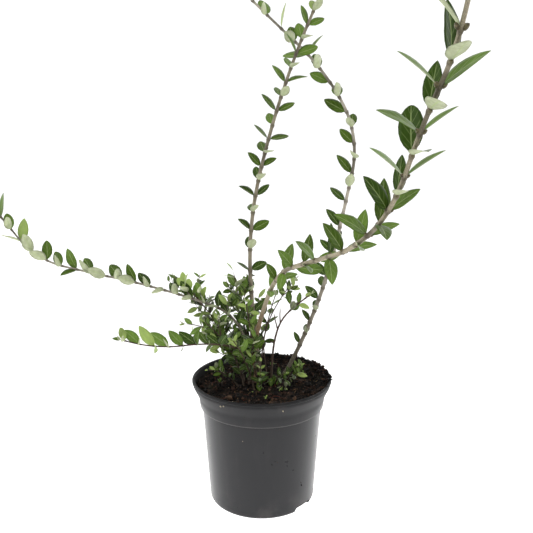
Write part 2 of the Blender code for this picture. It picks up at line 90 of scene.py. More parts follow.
MOULD_SLOPE = 0.0012
LEDGE_ROUND = 0.0008    # radius of the collar's lower edge
COLLAR_EASE = 0.0022    # how far above and below a bend of the collar it is rounded
COLLAR_RING = 0.0011    # between the rings that round the collar
COLLAR_RINGS = 16
SHARP_ANGLE = 40        # edges of the pot that bend more than this stay sharp

# Sizes of the soil
SOIL_LEVEL = 0.112
SOIL_RADIUS = 0.0614
SOIL_CLEARANCE = 0.0003
SOIL_BOTTOM = 0.0078
SOIL_SHOULDER = 0.1105  # the filling's side starts here
SOIL_RINGS = 46
SOIL_HEAP = 0.0052
SOIL_HEAP_BEARING = 30.0
SOIL_HEAP_WIDTH = 62.0
STEM_PATCH_RADIUS = 0.030
SOIL_LUMPS = 0.0022     # relief of the fine lumps
SOIL_CLODS = 0.0020     # relief of the broad ones
SOIL_EDGE = 0.0012      # how much the soil climbs at the wall
LUMP_SHARES = (0.62, 0.86, 0.985)   # peat, bark and dry chips up to here, then pale bits
RIM_CRUMBS = 260
CRUMB_SPREAD = math.degrees(0.50)   # how far round the rim the heap's crumbs lie
CRUMB_REACH = 0.010     # how far in from the rim
CRUMB_SIZE = 0.0017
STRAY_CRUMBS = 40
FIBRE_POINTS = 8
SPROUTS = (             # place and usual leaf length of each tuft on the soil
    (3, -34, 2.6), (-8, -20, 2.2), (20, -14, 3.0), (-40, 8, 2.8), (40, 20, 2.4), (10, 44, 2.6),
    (-20, 42, 2.6), (10, 6, 7.5), (18, 12, 6.5), (24, 1, 6.5), (4, -12, 7.0), (31, 17, 5.0),
)
SPROUT_LARGE = 4        # tufts with leaves over this length are darker

# Sizes of stems and leaves
PATH_STEPS = 120
FLARE = 0.35
FLARE_HEIGHT = 0.004
LIGHT = Vector((0.10, -0.80, 0.60)).normalized()
LOST_LEAVES = 0.05
SIDE_TWIG = (0.012, 0.020)
SIDE_TWIG_RADIUS = 0.00058
LEAF_BASE = 0.62        # how rounded a leaf's base is
LEAF_STALK = 0.020      # half the width of a leaf's stalk, as a share of its length
SIDE_VEINS = 7
VEIN_SLANT = 1.7
SHOOT_BLADES = 12       # how many different blades are made of a sort
CLUMP_BLADES = 10
SPROUT_BLADES = 4
BEAD_MIDDLE = 0.42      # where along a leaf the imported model's blade is thickest
BEAD_REACH = 0.0012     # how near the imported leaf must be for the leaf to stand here
FOLDS_TO_LIGHT = 0.25   # a leaf that points nearer the light than this stands folded
# Those sideways leaves also take the lighter fresh colour, a painted sheen.
SIDEWAYS = 0.45         # leaves of the front shoot that point more to the side turn skywards
NODE_SWELLING = 0.34
NODE_LENGTH = 0.0013
STEM_SUNK = 0.003       # how far a stem runs on into the soil
THICK_GIRTH = 1.5       # stems over this carry the thicker sort of side twig
LOW_SIDES = 7           # flats round a low twig, and round a side twig
TWIG_SIDES = 5
LONG_STEP = 0.0035      # between the rings of a long shoot, a low twig and a side twig
LOW_STEP = 0.005
TWIG_STEP = 0.003
RING_GAP = 0.0003       # rings never stand closer together
FINE_TWIG = (0.016, 0.030)
FINE_TWIG_RADIUS = 0.00038
FINE_TWIG_SHARE = 0.62  # how many of a low twig's nodes carry one
FINE_LEAF = (0.007, 0.013)
FINE_SPACING = (0.0035, 0.0055)
BARE_TWIGS = (          # distance of the root, length, bearings and rises
    (36, 6, (180, 180), (25, 50)), (50, 17, (185, 150), (80, 74, 84)), (57, 15, (160, 20), (88, 80, 84)),
)
REACH_SPARE = 0.004     # how far fine twigs may leave the box of the mass that they stand in
WALL_CRUMBS = (         # bearing, height, size and sort of the bits that stick to the wall in front
    (-124, 0.1132, 0.0017, 3), (-121, 0.1142, 0.0011, 3), (-73, 0.1120, 0.0013, 3),
    (-80, 0.0570, 0.0018, 0), (-77, 0.0600, 0.0011, 0), (-45, 0.0280, 0.0020, 0),
    (-46, 0.0310, 0.0012, 1),
)

# Sizes of the studio
GLOW_INSIDE = 0.16      # the floor gives off its own light inside this radius, and none
GLOW_OUTSIDE = 0.42     # outside this one
FLOOR_SEGMENTS = 96
SENSOR_WIDTH = 36
NEAR_CLIP = 0.01
EYE = Vector((0.0044, -0.655, 0.380))
PITCH_DOWN = 13.2

# Colours of the low twigs' bark
TWIG_BARK = (0.115, 0.070, 0.052)
TWIG_BARK_DARK = (0.028, 0.017, 0.013)


@dataclass
class Shoot:
    """One stem and what grows on it, in millimetres and degrees."""

    foot: tuple
    length: float
    bearings: tuple
    rises: tuple
    girth: tuple
    leaf: tuple
    spacing: tuple
    bare: float
    turn: float
    seeds: tuple
    parts: tuple
    cuts: tuple = ()
    spread: float = 62.0
    lift: float = 0.0
    light: float = 0.45
    flatten: float = 0.0
    restless: float = 1.0
    one_sided: float = 0.0
    branching: float = 0.0


LONG_SHOOTS = {
    "centre": Shoot(
        foot=(-1, 13), length=394, bearings=(-3, -4), rises=(98, 93, 77, 70, 62),
        girth=(4.2, 2.1), leaf=(12, 18, 19, 18), spacing=(20, 20.5, 12.5, 13, 11), bare=67, turn=14,
        seeds=(384, 904), spread=60, lift=0.15, light=0.75, cuts=(58, 215),
        parts=("stem_centre", "shoot_centre_low", "shoot_centre_high"),
    ),
    "right": Shoot(
        foot=(22, 25), length=413, bearings=(25, 5, 17), rises=(58, 68, 77, 79, 121, 140, 138),
        girth=(4.0, 2.0), leaf=(12, 18, 21, 22, 19), spacing=(12, 12, 12.6, 15.2, 16.5, 18),
        bare=33, turn=0, seeds=(1229, 1026, 717), spread=66, lift=0.3, light=0.75, one_sided=1.3,
        cuts=(27, 170, 290),
        parts=("stem_right", "shoot_right_low", "shoot_right_arch", "shoot_right_tip"),
    ),
    "front": Shoot(
        foot=(-8, 5), length=500, bearings=(-76, -74, -64, -79, -86),
        rises=(93, 53, 44, 19, 19, 33, 54, 40, 72),
        girth=(4.3, 2.2), leaf=(17, 20, 23, 26, 27), spacing=(21, 21, 20.5, 20, 15, 16.5, 18),
        bare=126, turn=90, seeds=(1770, 2695, 490), spread=54, lift=0.4, light=0.12, restless=1.2,
        cuts=(118, 240, 370),
        parts=("stem_front", "shoot_front_low", "shoot_front_middle", "shoot_front_high"),
    ),
    "left": Shoot(
        foot=(-10, 10), length=319, bearings=(196, 189, 195),
        rises=(90, 72, 23, 19, 15, 17, 56, 54),
        girth=(2.4, 1.5), leaf=(14, 19, 20), spacing=(13, 13.4), bare=58, turn=20,
        seeds=(1004, 827), spread=50, lift=0.6, light=0.7, flatten=0.4, restless=1.5,
        branching=0.14, cuts=(52, 190),
        parts=("stem_left", "shoot_left_inner", "shoot_left_outer"),
    ),
    "low": Shoot(
        foot=(-12, 0), length=175, bearings=(245, 210), rises=(93, 23, 7, 26),
        girth=(1.7, 1.0), leaf=(10, 17, 20), spacing=(14, 14), bare=46, turn=0, seeds=(1592,),
        spread=52, lift=0.6, light=0.7, flatten=0.5, restless=1.5, cuts=(40,),
        parts=("stem_low", "shoot_low"),
    ),
}


def low_twig(number, foot, length, bearings, rises, leaf=(10, 15), bare=12, branching=0.18,
             girth=(1.4, 0.8)):
    """A thin twig of the clump round the stems' feet, which is one solid from the soil up."""
    return Shoot(
        foot=foot, length=length, bearings=bearings, rises=rises, girth=girth, leaf=leaf,
        spacing=(8, 10), bare=bare, turn=37.0 * number, seeds=(30 + number,), lift=0.2, light=0.6,
        restless=1.5, branching=branching, parts=(f"twig_{number:02d}",),
    )


# The second twig, which is bare and forked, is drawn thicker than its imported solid.
LOW_TWIGS = (
    low_twig(1, (-10, 20), 108, (190, 203), (86, 79, 79), leaf=(10, 24)),
    low_twig(2, (9, 14), 98, (10, -5), (88, 86, 74, 42, 38), leaf=(14, 16), bare=73, branching=0,
             girth=(2.2, 1.4)),
    low_twig(3, (5, 15), 112, (190, 20, 10), (86, 66, 44), leaf=(9, 14), bare=84),
    low_twig(4, (-19, 14), 122, (182, 190), (74, 60, 42), leaf=(10, 18)),
    low_twig(5, (-16, 5), 92, (200, 200), (82, 52, 8), leaf=(12, 18), bare=22),
    low_twig(6, (-22, -5), 42, (212, 220), (58, 14), leaf=(9, 9), bare=8),
    low_twig(7, (-1, -12), 38, (262, 280), (62, 24), leaf=(10, 10), bare=6),
    low_twig(8, (24, 8), 36, (-50, -70), (66, 24), leaf=(10, 10), bare=8),
    low_twig(9, (-17, -4), 80, (196, 214), (84, 58, 44)),
    low_twig(10, (-4, -6), 86, (215, 240), (84, 76)),
    low_twig(11, (-5, 30), 96, (170, 190), (82, 74, 70)),
    low_twig(12, (-2, 27), 84, (60, 30), (82, 74, 66), bare=24),
    low_twig(13, (-21, 22), 72, (165, 185), (74, 50)),
    low_twig(14, (-13, 28), 72, (140, 160), (70, 40)),
    low_twig(15, (12, -2), 34, (-75, -60), (56, 24), leaf=(10, 10), bare=8),
    low_twig(16, (-7, -14), 68, (232, 242), (76, 44)),
)


@dataclass
class Blade:
    """The shape of a sort of leaf blade; width is a share of the width in the settings."""

    across: int
    along: int
    width: float
    folds: tuple = (6, 24)
    curls: tuple = (-0.05, 0.20)
    point: float = 0.80


@dataclass
class Foliage:
    """The blades of some leaves, the ages that count as old, grown and fresh, and the undersides."""

    flat: Blade
    folded: Blade
    ages: tuple
    unders: tuple = (4, 4, 4, 5)


CLUMP_BLADE = Blade(4, 6, 1.02)
SPROUT_BLADE = Blade(4, 5, 0.60 / 0.47)   # 0.60 wide where the settings give the usual 0.47
SHOOT_FOLIAGE = Foliage(
    flat=Blade(4, 8, 1.14, (4, 12), (-0.04, 0.10), 0.70), folded=Blade(4, 8, 1.02),
    ages=(0.55, 0.30, 0.10),
)
FRONT_FOLIAGE = Foliage(
    flat=Blade(6, 11, 1.08, (4, 12), (-0.04, 0.10), 0.60),
    folded=Blade(6, 11, 0.84, (5, 15), (0.08, 0.32)), ages=(0.66, 0.46, 0.05),
)
# The clump's old and grown leaves take the shaded underside: painted shade.
CLUMP_FOLIAGE = Foliage(
    flat=CLUMP_BLADE, folded=CLUMP_BLADE, ages=(0.45, 0.25, 0.12), unders=(6, 6, 4, 5),
)


# Sizes and colours that a user would change
class PotLooks(bpy.types.PropertyGroup):
    colour: FloatVectorProperty(
        name="Plastic", description="Colour of the pot's plastic", subtype="COLOR", size=3,
        min=0, max=1, default=(0.0120, 0.0120, 0.0132))
    # The dust colour also paints a thin highlight along the collar's lower edge.
    dust: FloatVectorProperty(
        name="Dust", description="Colour of the dried soil and scuffs on the pot",
        subtype="COLOR", size=3, min=0, max=1, default=(0.11, 0.10, 0.095))
    segments: IntProperty(
        name="Segments", description="Flats round the pot", min=48, max=256, default=160)


class SoilLooks(bpy.types.PropertyGroup):
    dark: FloatVectorProperty(
        name="Moist soil", description="Darkest colour of the soil", subtype="COLOR", size=3,
        min=0, max=1, default=(0.0018, 0.0014, 0.0012))
    light: FloatVectorProperty(
        name="Dry soil", description="Lightest colour of the soil", subtype="COLOR", size=3,
        min=0, max=1, default=(0.0235, 0.0142, 0.0090))
    lumps: IntProperty(
        name="Lumps", description="Lumps and bark bits strewn on the soil", min=0, max=3000,
        default=1500)
    fibres: IntProperty(
        name="Fibres", description="Fibres strewn on the soil", min=0, max=400, default=110)
    lump: FloatProperty(
        name="Lump size", description="Usual width of a lump", unit="LENGTH", min=0.0002,
        max=0.01, default=0.0017)


class BarkLooks(bpy.types.PropertyGroup):
    light: FloatVectorProperty(
        name="Young bark", description="Colour of the shoots' smooth bark", subtype="COLOR",
        size=3, min=0, max=1, default=(0.315, 0.276, 0.195))
    dark: FloatVectorProperty(
        name="Dark bark", description="Colour of the nodes and of dark stretches",
        subtype="COLOR", size=3, min=0, max=1, default=(0.060, 0.050, 0.034))
    red: FloatVectorProperty(
        name="Old bark", description="Colour of the bark near the soil", subtype="COLOR",
        size=3, min=0, max=1, default=(0.205, 0.102, 0.045))
    pale: FloatVectorProperty(
        name="Thin bark", description="Colour of the bark of the thinner shoots",
        subtype="COLOR", size=3, min=0, max=1, default=(0.345, 0.314, 0.258))
    sides: IntProperty(
        name="Sides", description="Flats round a long shoot", min=6, max=24, default=12)


class LeafLooks(bpy.types.PropertyGroup):
    dark: FloatVectorProperty(
        name="Old leaf", description="Upper face of an old leaf", subtype="COLOR", size=3,
        min=0, max=1, default=(0.0210, 0.045, 0.0023))
    grown: FloatVectorProperty(
        name="Grown leaf", description="Upper face of a grown leaf", subtype="COLOR", size=3,
        min=0, max=1, default=(0.041, 0.077, 0.0050))
    # The fresh colour is also given to the front shoot's sideways leaves as a painted sheen.
    fresh: FloatVectorProperty(
        name="Fresh leaf", description="Upper face of a fresh leaf", subtype="COLOR", size=3,
        min=0, max=1, default=(0.080, 0.138, 0.0205))
    young: FloatVectorProperty(
        name="Young leaf", description="Upper face of a young leaf", subtype="COLOR", size=3,
        min=0, max=1, default=(0.200, 0.272, 0.072))
    under: FloatVectorProperty(
        name="Underside", description="Lower face of every leaf", subtype="COLOR", size=3,
        min=0, max=1, default=(0.355, 0.388, 0.240))
    midrib: FloatVectorProperty(
        name="Midrib", description="Rib along the middle of a leaf", subtype="COLOR", size=3,
        min=0, max=1, default=(0.240, 0.305, 0.118))
    width: FloatProperty(
        name="Width", description="Width of a leaf as a share of its length", min=0.2, max=0.9,
        default=0.47)
    thickness: FloatProperty(
        name="Thickness", description="Thickness as a share of its length", min=0.005, max=0.1,
        default=0.018)


class StudioLooks(bpy.types.PropertyGroup):
    lens: FloatProperty(
        name="Lens", description="The camera's focal length in millimetres", min=10, max=200,
        default=50)
    floor: FloatVectorProperty(
        name="Floor", description="Colour of floor and backdrop", subtype="COLOR", size=3,
        min=0, max=1, default=(0.93, 0.93, 0.93))
    glow: FloatProperty(
        name="Glow", description="Light that the floor gives off round the pot", min=0, max=10,
        default=1.4)
    surround: FloatProperty(
        name="Surround", description="Strength of the even light all round", min=0, max=10,
        default=1.0)
    key: FloatProperty(
        name="Key light", description="Power of the main light in watts", min=0, max=500,
        default=9)
    fill: FloatProperty(
        name="Fill light", description="Power of each side light in watts", min=0, max=500,
        default=5)
    rim: FloatProperty(
        name="Rim light", description="Power of each light behind the plant in watts", min=0,
        max=500, default=6)
    floor_radius: FloatProperty(
        name="Floor radius", description="Radius of the round floor", unit="LENGTH", min=0.5,
        max=20, default=2.4)


class HoneysuckleLooks(bpy.types.PropertyGroup):
    pot: PointerProperty(type=PotLooks)
    soil: PointerProperty(type=SoilLooks)
    bark: PointerProperty(type=BarkLooks)
    leaf: PointerProperty(type=LeafLooks)
    studio: PointerProperty(type=StudioLooks)


# Shader helpers
class Value:
    """A shader value; an expression on it adds the Math nodes that work it out."""

    def __init__(self, shader, socket):
        self.shader = shader
        self.socket = socket

    def math(self, operation, *values):
        return self.shader.add("ShaderNodeMath", {"operation": operation}, dict(enumerate(values)))

    def __add__(self, other):
        return self.math("ADD", self, other)

    def __radd__(self, other):
        return self.math("ADD", other, self)

    def __sub__(self, other):
        return self.math("SUBTRACT", self, other)

    def __rsub__(self, other):
        return self.math("SUBTRACT", other, self)

    def __mul__(self, other):
        return self.math("MULTIPLY", self, other)

    def __rmul__(self, other):
        return self.math("MULTIPLY", other, self)

    def absolute(self):
        return self.math("ABSOLUTE", self)

    def fraction(self):
        return self.math("FRACT", self)

    def rising(self, low, high):
        """0 below low, 1 above high and smooth between them."""
        return self.shader.add(
            "ShaderNodeMapRange", {"interpolation_type": "SMOOTHSTEP"},
            {"Value": self, "From Min": low, "From Max": high, "To Min": 0.0, "To Max": 1.0})

    def falling(self, low, high):
        return 1 - self.rising(low, high)


class Shader:
    """A material and its nodes, made by one method and joined by expressions."""

    def __init__(self, name):
        self.material = bpy.data.materials.new(name)
        self.material.use_nodes = True
        self.tree = self.material.node_tree
        self.surface = self.tree.nodes["Principled BSDF"]

    def add(self, kind, settings=None, sockets=None, output=0):
        """A node of a type: its settings are set first, then its sockets get values or links."""
        node = self.tree.nodes.new(kind)
        for name, value in (settings or {}).items():
            setattr(node, name, value)
        for name, value in (sockets or {}).items():
            self.give(node.inputs[name], value)
        return Value(self, node.outputs[output])

    def give(self, socket, value):
        if isinstance(value, Value):
            self.tree.links.new(value.socket, socket)
        elif hasattr(socket.default_value, "__len__") and len(socket.default_value) == 4:
            socket.default_value = (*value[:3], 1.0)
        else:
            socket.default_value = value

    def place(self):
        return self.add("ShaderNodeTexCoord", output="Object")

    def stretched(self, scale):
        return self.add("ShaderNodeMapping", sockets={"Vector": self.place(), "Scale": scale})

    def noise(self, scale, detail=3.0, rough=0.5, place=None):
        return self.add(
            "ShaderNodeTexNoise", sockets={
                "Vector": place or self.place(), "Scale": scale, "Detail": detail,
                "Roughness": rough})

    def cells(self, scale):
        return self.add("ShaderNodeTexVoronoi", sockets={"Vector": self.place(), "Scale": scale})

    def measure(self, name):
        """A number that the mesh carries at each point."""
        return self.add("ShaderNodeAttribute", {"attribute_name": name}, output="Fac")

    def part(self, vector, axis):
        return self.add("ShaderNodeSeparateXYZ", sockets={0: vector}, output=axis)

    def mix(self, share, first, second):
        return self.add("ShaderNodeMix", {"data_type": "RGBA"}, {0: share, 6: first, 7: second}, 2)

    def bump(self, height, distance, strength):
        self.finish(Normal=self.add(
            "ShaderNodeBump",
            sockets={"Strength": strength, "Distance": distance, "Height": height}))

    def finish(self, **values):
        for name, value in values.items():
            self.give(self.surface.inputs[name.replace("_", " ")], value)
        return self.material


# Materials
def tinted(colour, amount):
    """A colour made lighter, or darker where amount is under 1."""
    return tuple(min(1.0, part * amount) for part in colour)


def pot_plastic(looks):
    shader = Shader("pot_plastic")
    height = shader.part(shader.place(), "Z")
    streaks = shader.noise(1.0, 4.0, 0.6, shader.stretched((90, 90, 12)))
    blotches = shader.noise(34.0, 4.0, 0.6)
    specks = shader.cells(330.0).falling(0.02, 0.10) * shader.noise(60.0, 2.0).rising(0.56, 0.66)
    near_foot = height.falling(0.0, 0.030) * blotches.rising(0.44, 0.70)
    near_rim = height.rising(0.103, 0.120) * streaks.rising(0.46, 0.74)
    # Painted highlight: a thin lighter line along the collar's rounded lower edge, added to the dust
    # marks and mixed toward the dust colour.
    painted_ledge_highlight = (height - LEDGE_HEIGHT - LEDGE_ROUND * 0.6).absolute().falling(0.0002, 0.0011)
    dust_and_ledge_highlight = (
        near_foot * 0.20 + near_rim * 0.10 + painted_ledge_highlight * (0.15 + streaks * 0.24) + specks * 0.40
        + streaks.rising(0.5, 0.8) * 0.06
    )
    colour = shader.mix(dust_and_ledge_highlight, looks.colour, looks.dust)
    # Painted shade: the collar and the lip are darkened toward a deeper tone of the plastic.
    collar = height.rising(LEDGE_TOP + 0.001, COLLAR_WAIST)
    lip = height.rising(COLLAR_TOP + 0.0028, COLLAR_TOP + 0.0050)
    colour = shader.mix(collar * 0.30 + lip * 0.45, colour, tinted(looks.colour, 0.30))
    grain = shader.noise(2600.0, 2.0)
    shader.bump(grain * 0.5 + blotches, 0.00010, 0.25)
    return shader.finish(
        Base_Color=colour, Roughness=0.24 + dust_and_ledge_highlight * 0.40 + blotches * 0.10 + collar * 0.26,
        Specular_IOR_Level=0.17)


def soil_mix(looks):
    shader = Shader("potting_soil")
    coarse = shader.noise(150.0, 5.0, 0.65)
    fine = shader.noise(900.0, 4.0, 0.6)
    patches = shader.noise(45.0, 3.0, 0.5)
    colour = shader.mix(coarse.rising(0.42, 0.72), looks.dark, looks.light)
    colour = shader.mix(patches.rising(0.52, 0.68) * fine * 0.7, colour, (0.020, 0.019, 0.007))
    colour = shader.mix(fine.rising(0.58, 0.75) * 0.35, colour, (0.060, 0.033, 0.020))
    shader.bump(coarse + fine * 0.5, 0.0012, 0.9)
    return shader.finish(Base_Color=colour, Roughness=0.93, Specular_IOR_Level=0.12)


def strewn(name, colour, rough=0.85):
    """The finish of one sort of bit on the soil, mottled round its colour."""
    shader = Shader(name)
    mottle = shader.noise(520.0, 4.0, 0.6)
    colour = shader.mix(mottle.rising(0.3, 0.7), tinted(colour, 0.5), tinted(colour, 1.5))
    shader.bump(mottle, 0.0003, 0.8)
    return shader.finish(Base_Color=colour, Roughness=rough, Specular_IOR_Level=0.15)


def shoot_bark(name, light, dark, red, red_height):
    """Smooth bark with darker nodes, dark stretches, fine lengthwise lines and a reddish foot."""
    shader = Shader(name)
    lines = shader.noise(1.0, 3.0, 0.6, shader.stretched((2600, 2600, 260)))
    stretches = shader.noise(26.0, 3.0, 0.55)
    lenticels = shader.cells(620.0).falling(0.05, 0.22)
    height = shader.part(shader.place(), "Z")
    low = height.falling(SOIL_LEVEL + 0.030, SOIL_LEVEL + 0.160)
    foot = height.falling(SOIL_LEVEL + red_height * 0.3, SOIL_LEVEL + red_height)
    node = shader.measure("node")
    colour = shader.mix(lines.rising(0.3, 0.7), tinted(light, 0.60), tinted(light, 1.22))
    colour = shader.mix(stretches.rising(0.52, 0.64) * 0.70, colour, dark)
    colour = shader.mix(low * 0.72, colour, tinted(dark, 1.7))
    colour = shader.mix(foot * 0.65, colour, red)
    colour = shader.mix(node * 0.72, colour, dark)
    colour = shader.mix(lenticels * 0.35, colour, tinted(light, 1.5))
    shader.bump(lines * 0.6 + lenticels * 0.8 + stretches, 0.00025, 0.7)
    return shader.finish(
        Base_Color=colour, Roughness=0.58 + stretches * 0.2, Specular_IOR_Level=0.25)


def leaf_marks(shader, rib_width, vein_start):
    """How far aside of the rib a point lies, and masks of the rib and the slanting side veins."""
    spot = shader.add("ShaderNodeUVMap", {"uv_map": "leaf"})
    aside = (shader.part(spot, "X") - 0.5).absolute() * 2
    along = shader.part(spot, "Y")
    rib = aside.falling(0.02, rib_width)
    veins = (along * SIDE_VEINS - aside * VEIN_SLANT).fraction() - 0.5
    return aside, rib, veins.absolute().rising(vein_start, 0.50)


def leaf_blade(name, looks, colour, rough):
    """A leaf's upper face: satin, with a pale rib, faint side veins and a paler edge."""
    shader = Shader(name)
    aside, rib, vein = leaf_marks(shader, 0.09, 0.36)
    vein = vein * aside.falling(0.60, 0.95)
    mottle = shader.noise(420.0, 3.0)
    drift = shader.noise(30.0, 2.0)
    base = shader.mix(drift.rising(0.3, 0.7), tinted(colour, 0.74), tinted(colour, 1.30))
    base = shader.mix(mottle.rising(0.35, 0.7) * 0.35, base, tinted(colour, 1.45))
    base = shader.mix(aside.rising(0.86, 1.0) * 0.35, base, tinted(colour, 1.8))
    base = shader.mix(vein * 0.22, base, looks.midrib)
    base = shader.mix(rib * 0.62, base, looks.midrib)
    shader.bump(vein * -0.5 - rib * 0.9 + mottle * 0.3, 0.00025, 0.6)
    return shader.finish(
        Base_Color=base, Roughness=rough + mottle * 0.12, Specular_IOR_Level=0.13,
        Sheen_Weight=0.10, Sheen_Roughness=0.30)


def leaf_underside(name, looks, colour):
    """A leaf's lower face: dull and pale, with a raised rib."""
    shader = Shader(name)
    aside, rib, vein = leaf_marks(shader, 0.12, 0.38)
    mottle = shader.noise(300.0, 3.0)
    base = shader.mix(mottle.rising(0.3, 0.7), tinted(colour, 0.85), tinted(colour, 1.12))
    base = shader.mix(vein * 0.20, base, tinted(colour, 0.62))
    base = shader.mix(rib * 0.6, base, tinted(looks.midrib, 1.35))
    shader.bump(rib + vein * 0.4, 0.00025, 0.6)
    return shader.finish(Base_Color=base, Roughness=0.6, Specular_IOR_Level=0.25)


def bud_scales():
    shader = Shader("bud_scales")
    mottle = shader.noise(900.0, 3.0)
    colour = shader.mix(mottle.rising(0.35, 0.65), (0.045, 0.036, 0.014), (0.125, 0.105, 0.042))
    shader.bump(mottle, 0.0002, 0.7)
    return shader.finish(Base_Color=colour, Roughness=0.6)


def studio_floor(looks):
    shader = Shader("studio_floor")
    paper = shader.noise(9.0, 3.0)
    colour = shader.mix(paper * 0.2, looks.floor, tinted(looks.floor, 0.985))
    away = shader.add("ShaderNodeVectorMath", {"operation": "LENGTH"}, {0: shader.place()}, "Value")
    glow = shader.mix(away.rising(GLOW_INSIDE, GLOW_OUTSIDE), (1, 1, 1), (0, 0, 0))
    return shader.finish(
        Base_Color=colour, Roughness=0.8, Emission_Color=glow, Emission_Strength=looks.glow)


# Mesh helpers
def mesh_of(name, shape):
    """Turn a bmesh into a mesh, and free it."""
    mesh = bpy.data.meshes.new(name)
    shape.to_mesh(mesh)
    shape.free()
    return mesh


def add_object(name, data):
    made = bpy.data.objects.new(name, data)
    bpy.context.scene.collection.objects.link(made)
    return made


def new_piece(name, shape, materials, nodes):
    """Turn a bmesh into a piece that rides on the plant and stands for CAD nodes."""
    mesh = mesh_of(name, shape)
    for material in materials:
        mesh.materials.append(material)
    piece = add_object(name, mesh)
    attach(piece, "root")
    if nodes:
        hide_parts(*nodes)
    return piece


def smooth(shape):
    for face in shape.faces:
        face.smooth = True


def new_faces(shape, first):
    shape.faces.ensure_lookup_table()
    return shape.faces[first:]


def new_vertices(shape, first):
    shape.verts.ensure_lookup_table()
    return shape.verts[first:]


def add_copy(shape, template, matrix, choose=None):
    """Add a template mesh under a matrix; choose turns its face materials into the piece's."""
    first_vertex, first_face = len(shape.verts), len(shape.faces)
    shape.from_mesh(template)
    bmesh.ops.transform(shape, matrix=matrix, verts=new_vertices(shape, first_vertex))
    for face in new_faces(shape, first_face):
        face.smooth = True
        if choose is not None:
            face.material_index = choose[face.material_index]


def around(radius, bearing, height):
    """The point at a radius, a bearing in degrees and a height from the pot's axis."""
    angle = math.radians(bearing)
    return Vector((radius * math.cos(angle), radius * math.sin(angle), height))


def arc(middle, radius, start, end, count):
    """Points round an arc, angles in degrees from the outward radius."""
    angles = [math.radians(start + (end - start) * index / count) for index in range(count + 1)]
    return [(middle[0] + radius * math.cos(a), middle[1] + radius * math.sin(a)) for a in angles]


def spun(profile, segments):
    """A closed solid of revolution round Z from a line of (radius, height) points."""
    shape = bmesh.new()
    points = [shape.verts.new((radius, 0, height)) for radius, height in profile]
    edges = [shape.edges.new(pair) for pair in zip(points, points[1:])]
    bmesh.ops.spin(
        shape, geom=points + edges, cent=(0, 0, 0), axis=(0, 0, 1), angle=2 * math.pi,
        steps=segments, use_merge=True)
    bmesh.ops.remove_doubles(shape, verts=shape.verts, dist=MERGE)
    bmesh.ops.recalc_face_normals(shape, faces=shape.faces)
    return shape


# Pot
def wall_radius(height):
    """The pot's outer radius at a height, straight between the marks."""
    for (low, inner), (high, outer) in zip(WALL_MARKS, WALL_MARKS[1:]):
        if height <= high:
            return inner + (outer - inner) * (height - low) / (high - low)
    return RIM_RADIUS


def eased_radius(height):
    """The wall's radius with its bends rounded: the mean of what lies a little above and below."""
    places = [height + COLLAR_EASE * step / 6 for step in range(-6, 7)]
    return sum(wall_radius(place) for place in places) / len(places)


def pot_profile():
    """Half the pot's section, from the floor's middle over the rim to the underside's middle."""
    raised_floor = NOTCH_HEIGHT + WALL
    inside = [(0, WALL), (CENTRE_PAD_RADIUS - MOULD_SLOPE, WALL), (CENTRE_PAD_RADIUS, raised_floor)]
    for height in (raised_floor, 0.030, 0.060, LEDGE_HEIGHT, LEDGE_TOP, COLLAR_WAIST, COLLAR_TOP):
        inside.append((wall_radius(height) - WALL, height))
    lip_middle = (RIM_RADIUS - LIP_WIDTH / 2, POT_HEIGHT - LIP_WIDTH / 2)
    lip = arc(lip_middle, LIP_WIDTH / 2, 180, -40, 14)
    under_lip = (lip[-1][0] - LIP_TUCK, lip[-1][1] - LIP_TUCK / 3)
    heights = [LEDGE_TOP + 0.0030 + COLLAR_RING * step for step in range(COLLAR_RINGS)]
    collar_rise = [(eased_radius(height), height) for height in reversed(heights)]
    ledge_middle = (wall_radius(LEDGE_TOP) - LEDGE_ROUND, LEDGE_HEIGHT + LEDGE_ROUND)
    collar_foot = arc(ledge_middle, LEDGE_ROUND, 0, -90, 5)
    collar_foot.append((wall_radius(LEDGE_HEIGHT), LEDGE_HEIGHT))
    wall = [(wall_radius(height), height) for height in (0.070, 0.050, 0.030, 0.015)]
    foot = arc((FOOT_RADIUS - FOOT_ROUND, FOOT_ROUND), FOOT_ROUND, 0, -90, 8)
    hollow_start = FOOT_RING_INSIDE - MOULD_SLOPE
    hollow_end = CENTRE_PAD_RADIUS + 2 * MOULD_SLOPE
    underside = [
        (FOOT_RING_INSIDE, 0), (hollow_start, NOTCH_HEIGHT), (hollow_end, NOTCH_HEIGHT),
        (hollow_end - MOULD_SLOPE, 0), (0, 0),
    ]
    return inside + lip + [under_lip] + collar_rise + collar_foot + wall + foot + underside


def notch_cutter(bearing):
    """A block with rounded upper edges that cuts one opening into the foot."""
    shape = bmesh.new()
    bmesh.ops.create_cube(shape, size=1.0)
    depth = 3 * (FOOT_RADIUS - FOOT_RING_INSIDE)
    bmesh.ops.scale(shape, vec=(depth, NOTCH_WIDTH, 2 * NOTCH_HEIGHT), verts=shape.verts)
    upper = [
        edge for edge in shape.edges
        if all(vertex.co.z > 0 for vertex in edge.verts)
        and abs(edge.verts[0].co.x - edge.verts[1].co.x) > depth / 2
    ]
    bmesh.ops.bevel(
        shape, geom=upper, offset=NOTCH_ROUND, offset_type="OFFSET", affect="EDGES", segments=6,
        profile=0.5, material=-1)
    bmesh.ops.translate(shape, vec=(FOOT_RADIUS, 0, 0), verts=shape.verts)
    turn = Matrix.Rotation(math.radians(bearing), 3, "Z")
    bmesh.ops.rotate(shape, cent=(0, 0, 0), matrix=turn, verts=shape.verts)
    return add_object("notch", mesh_of("notch", shape))


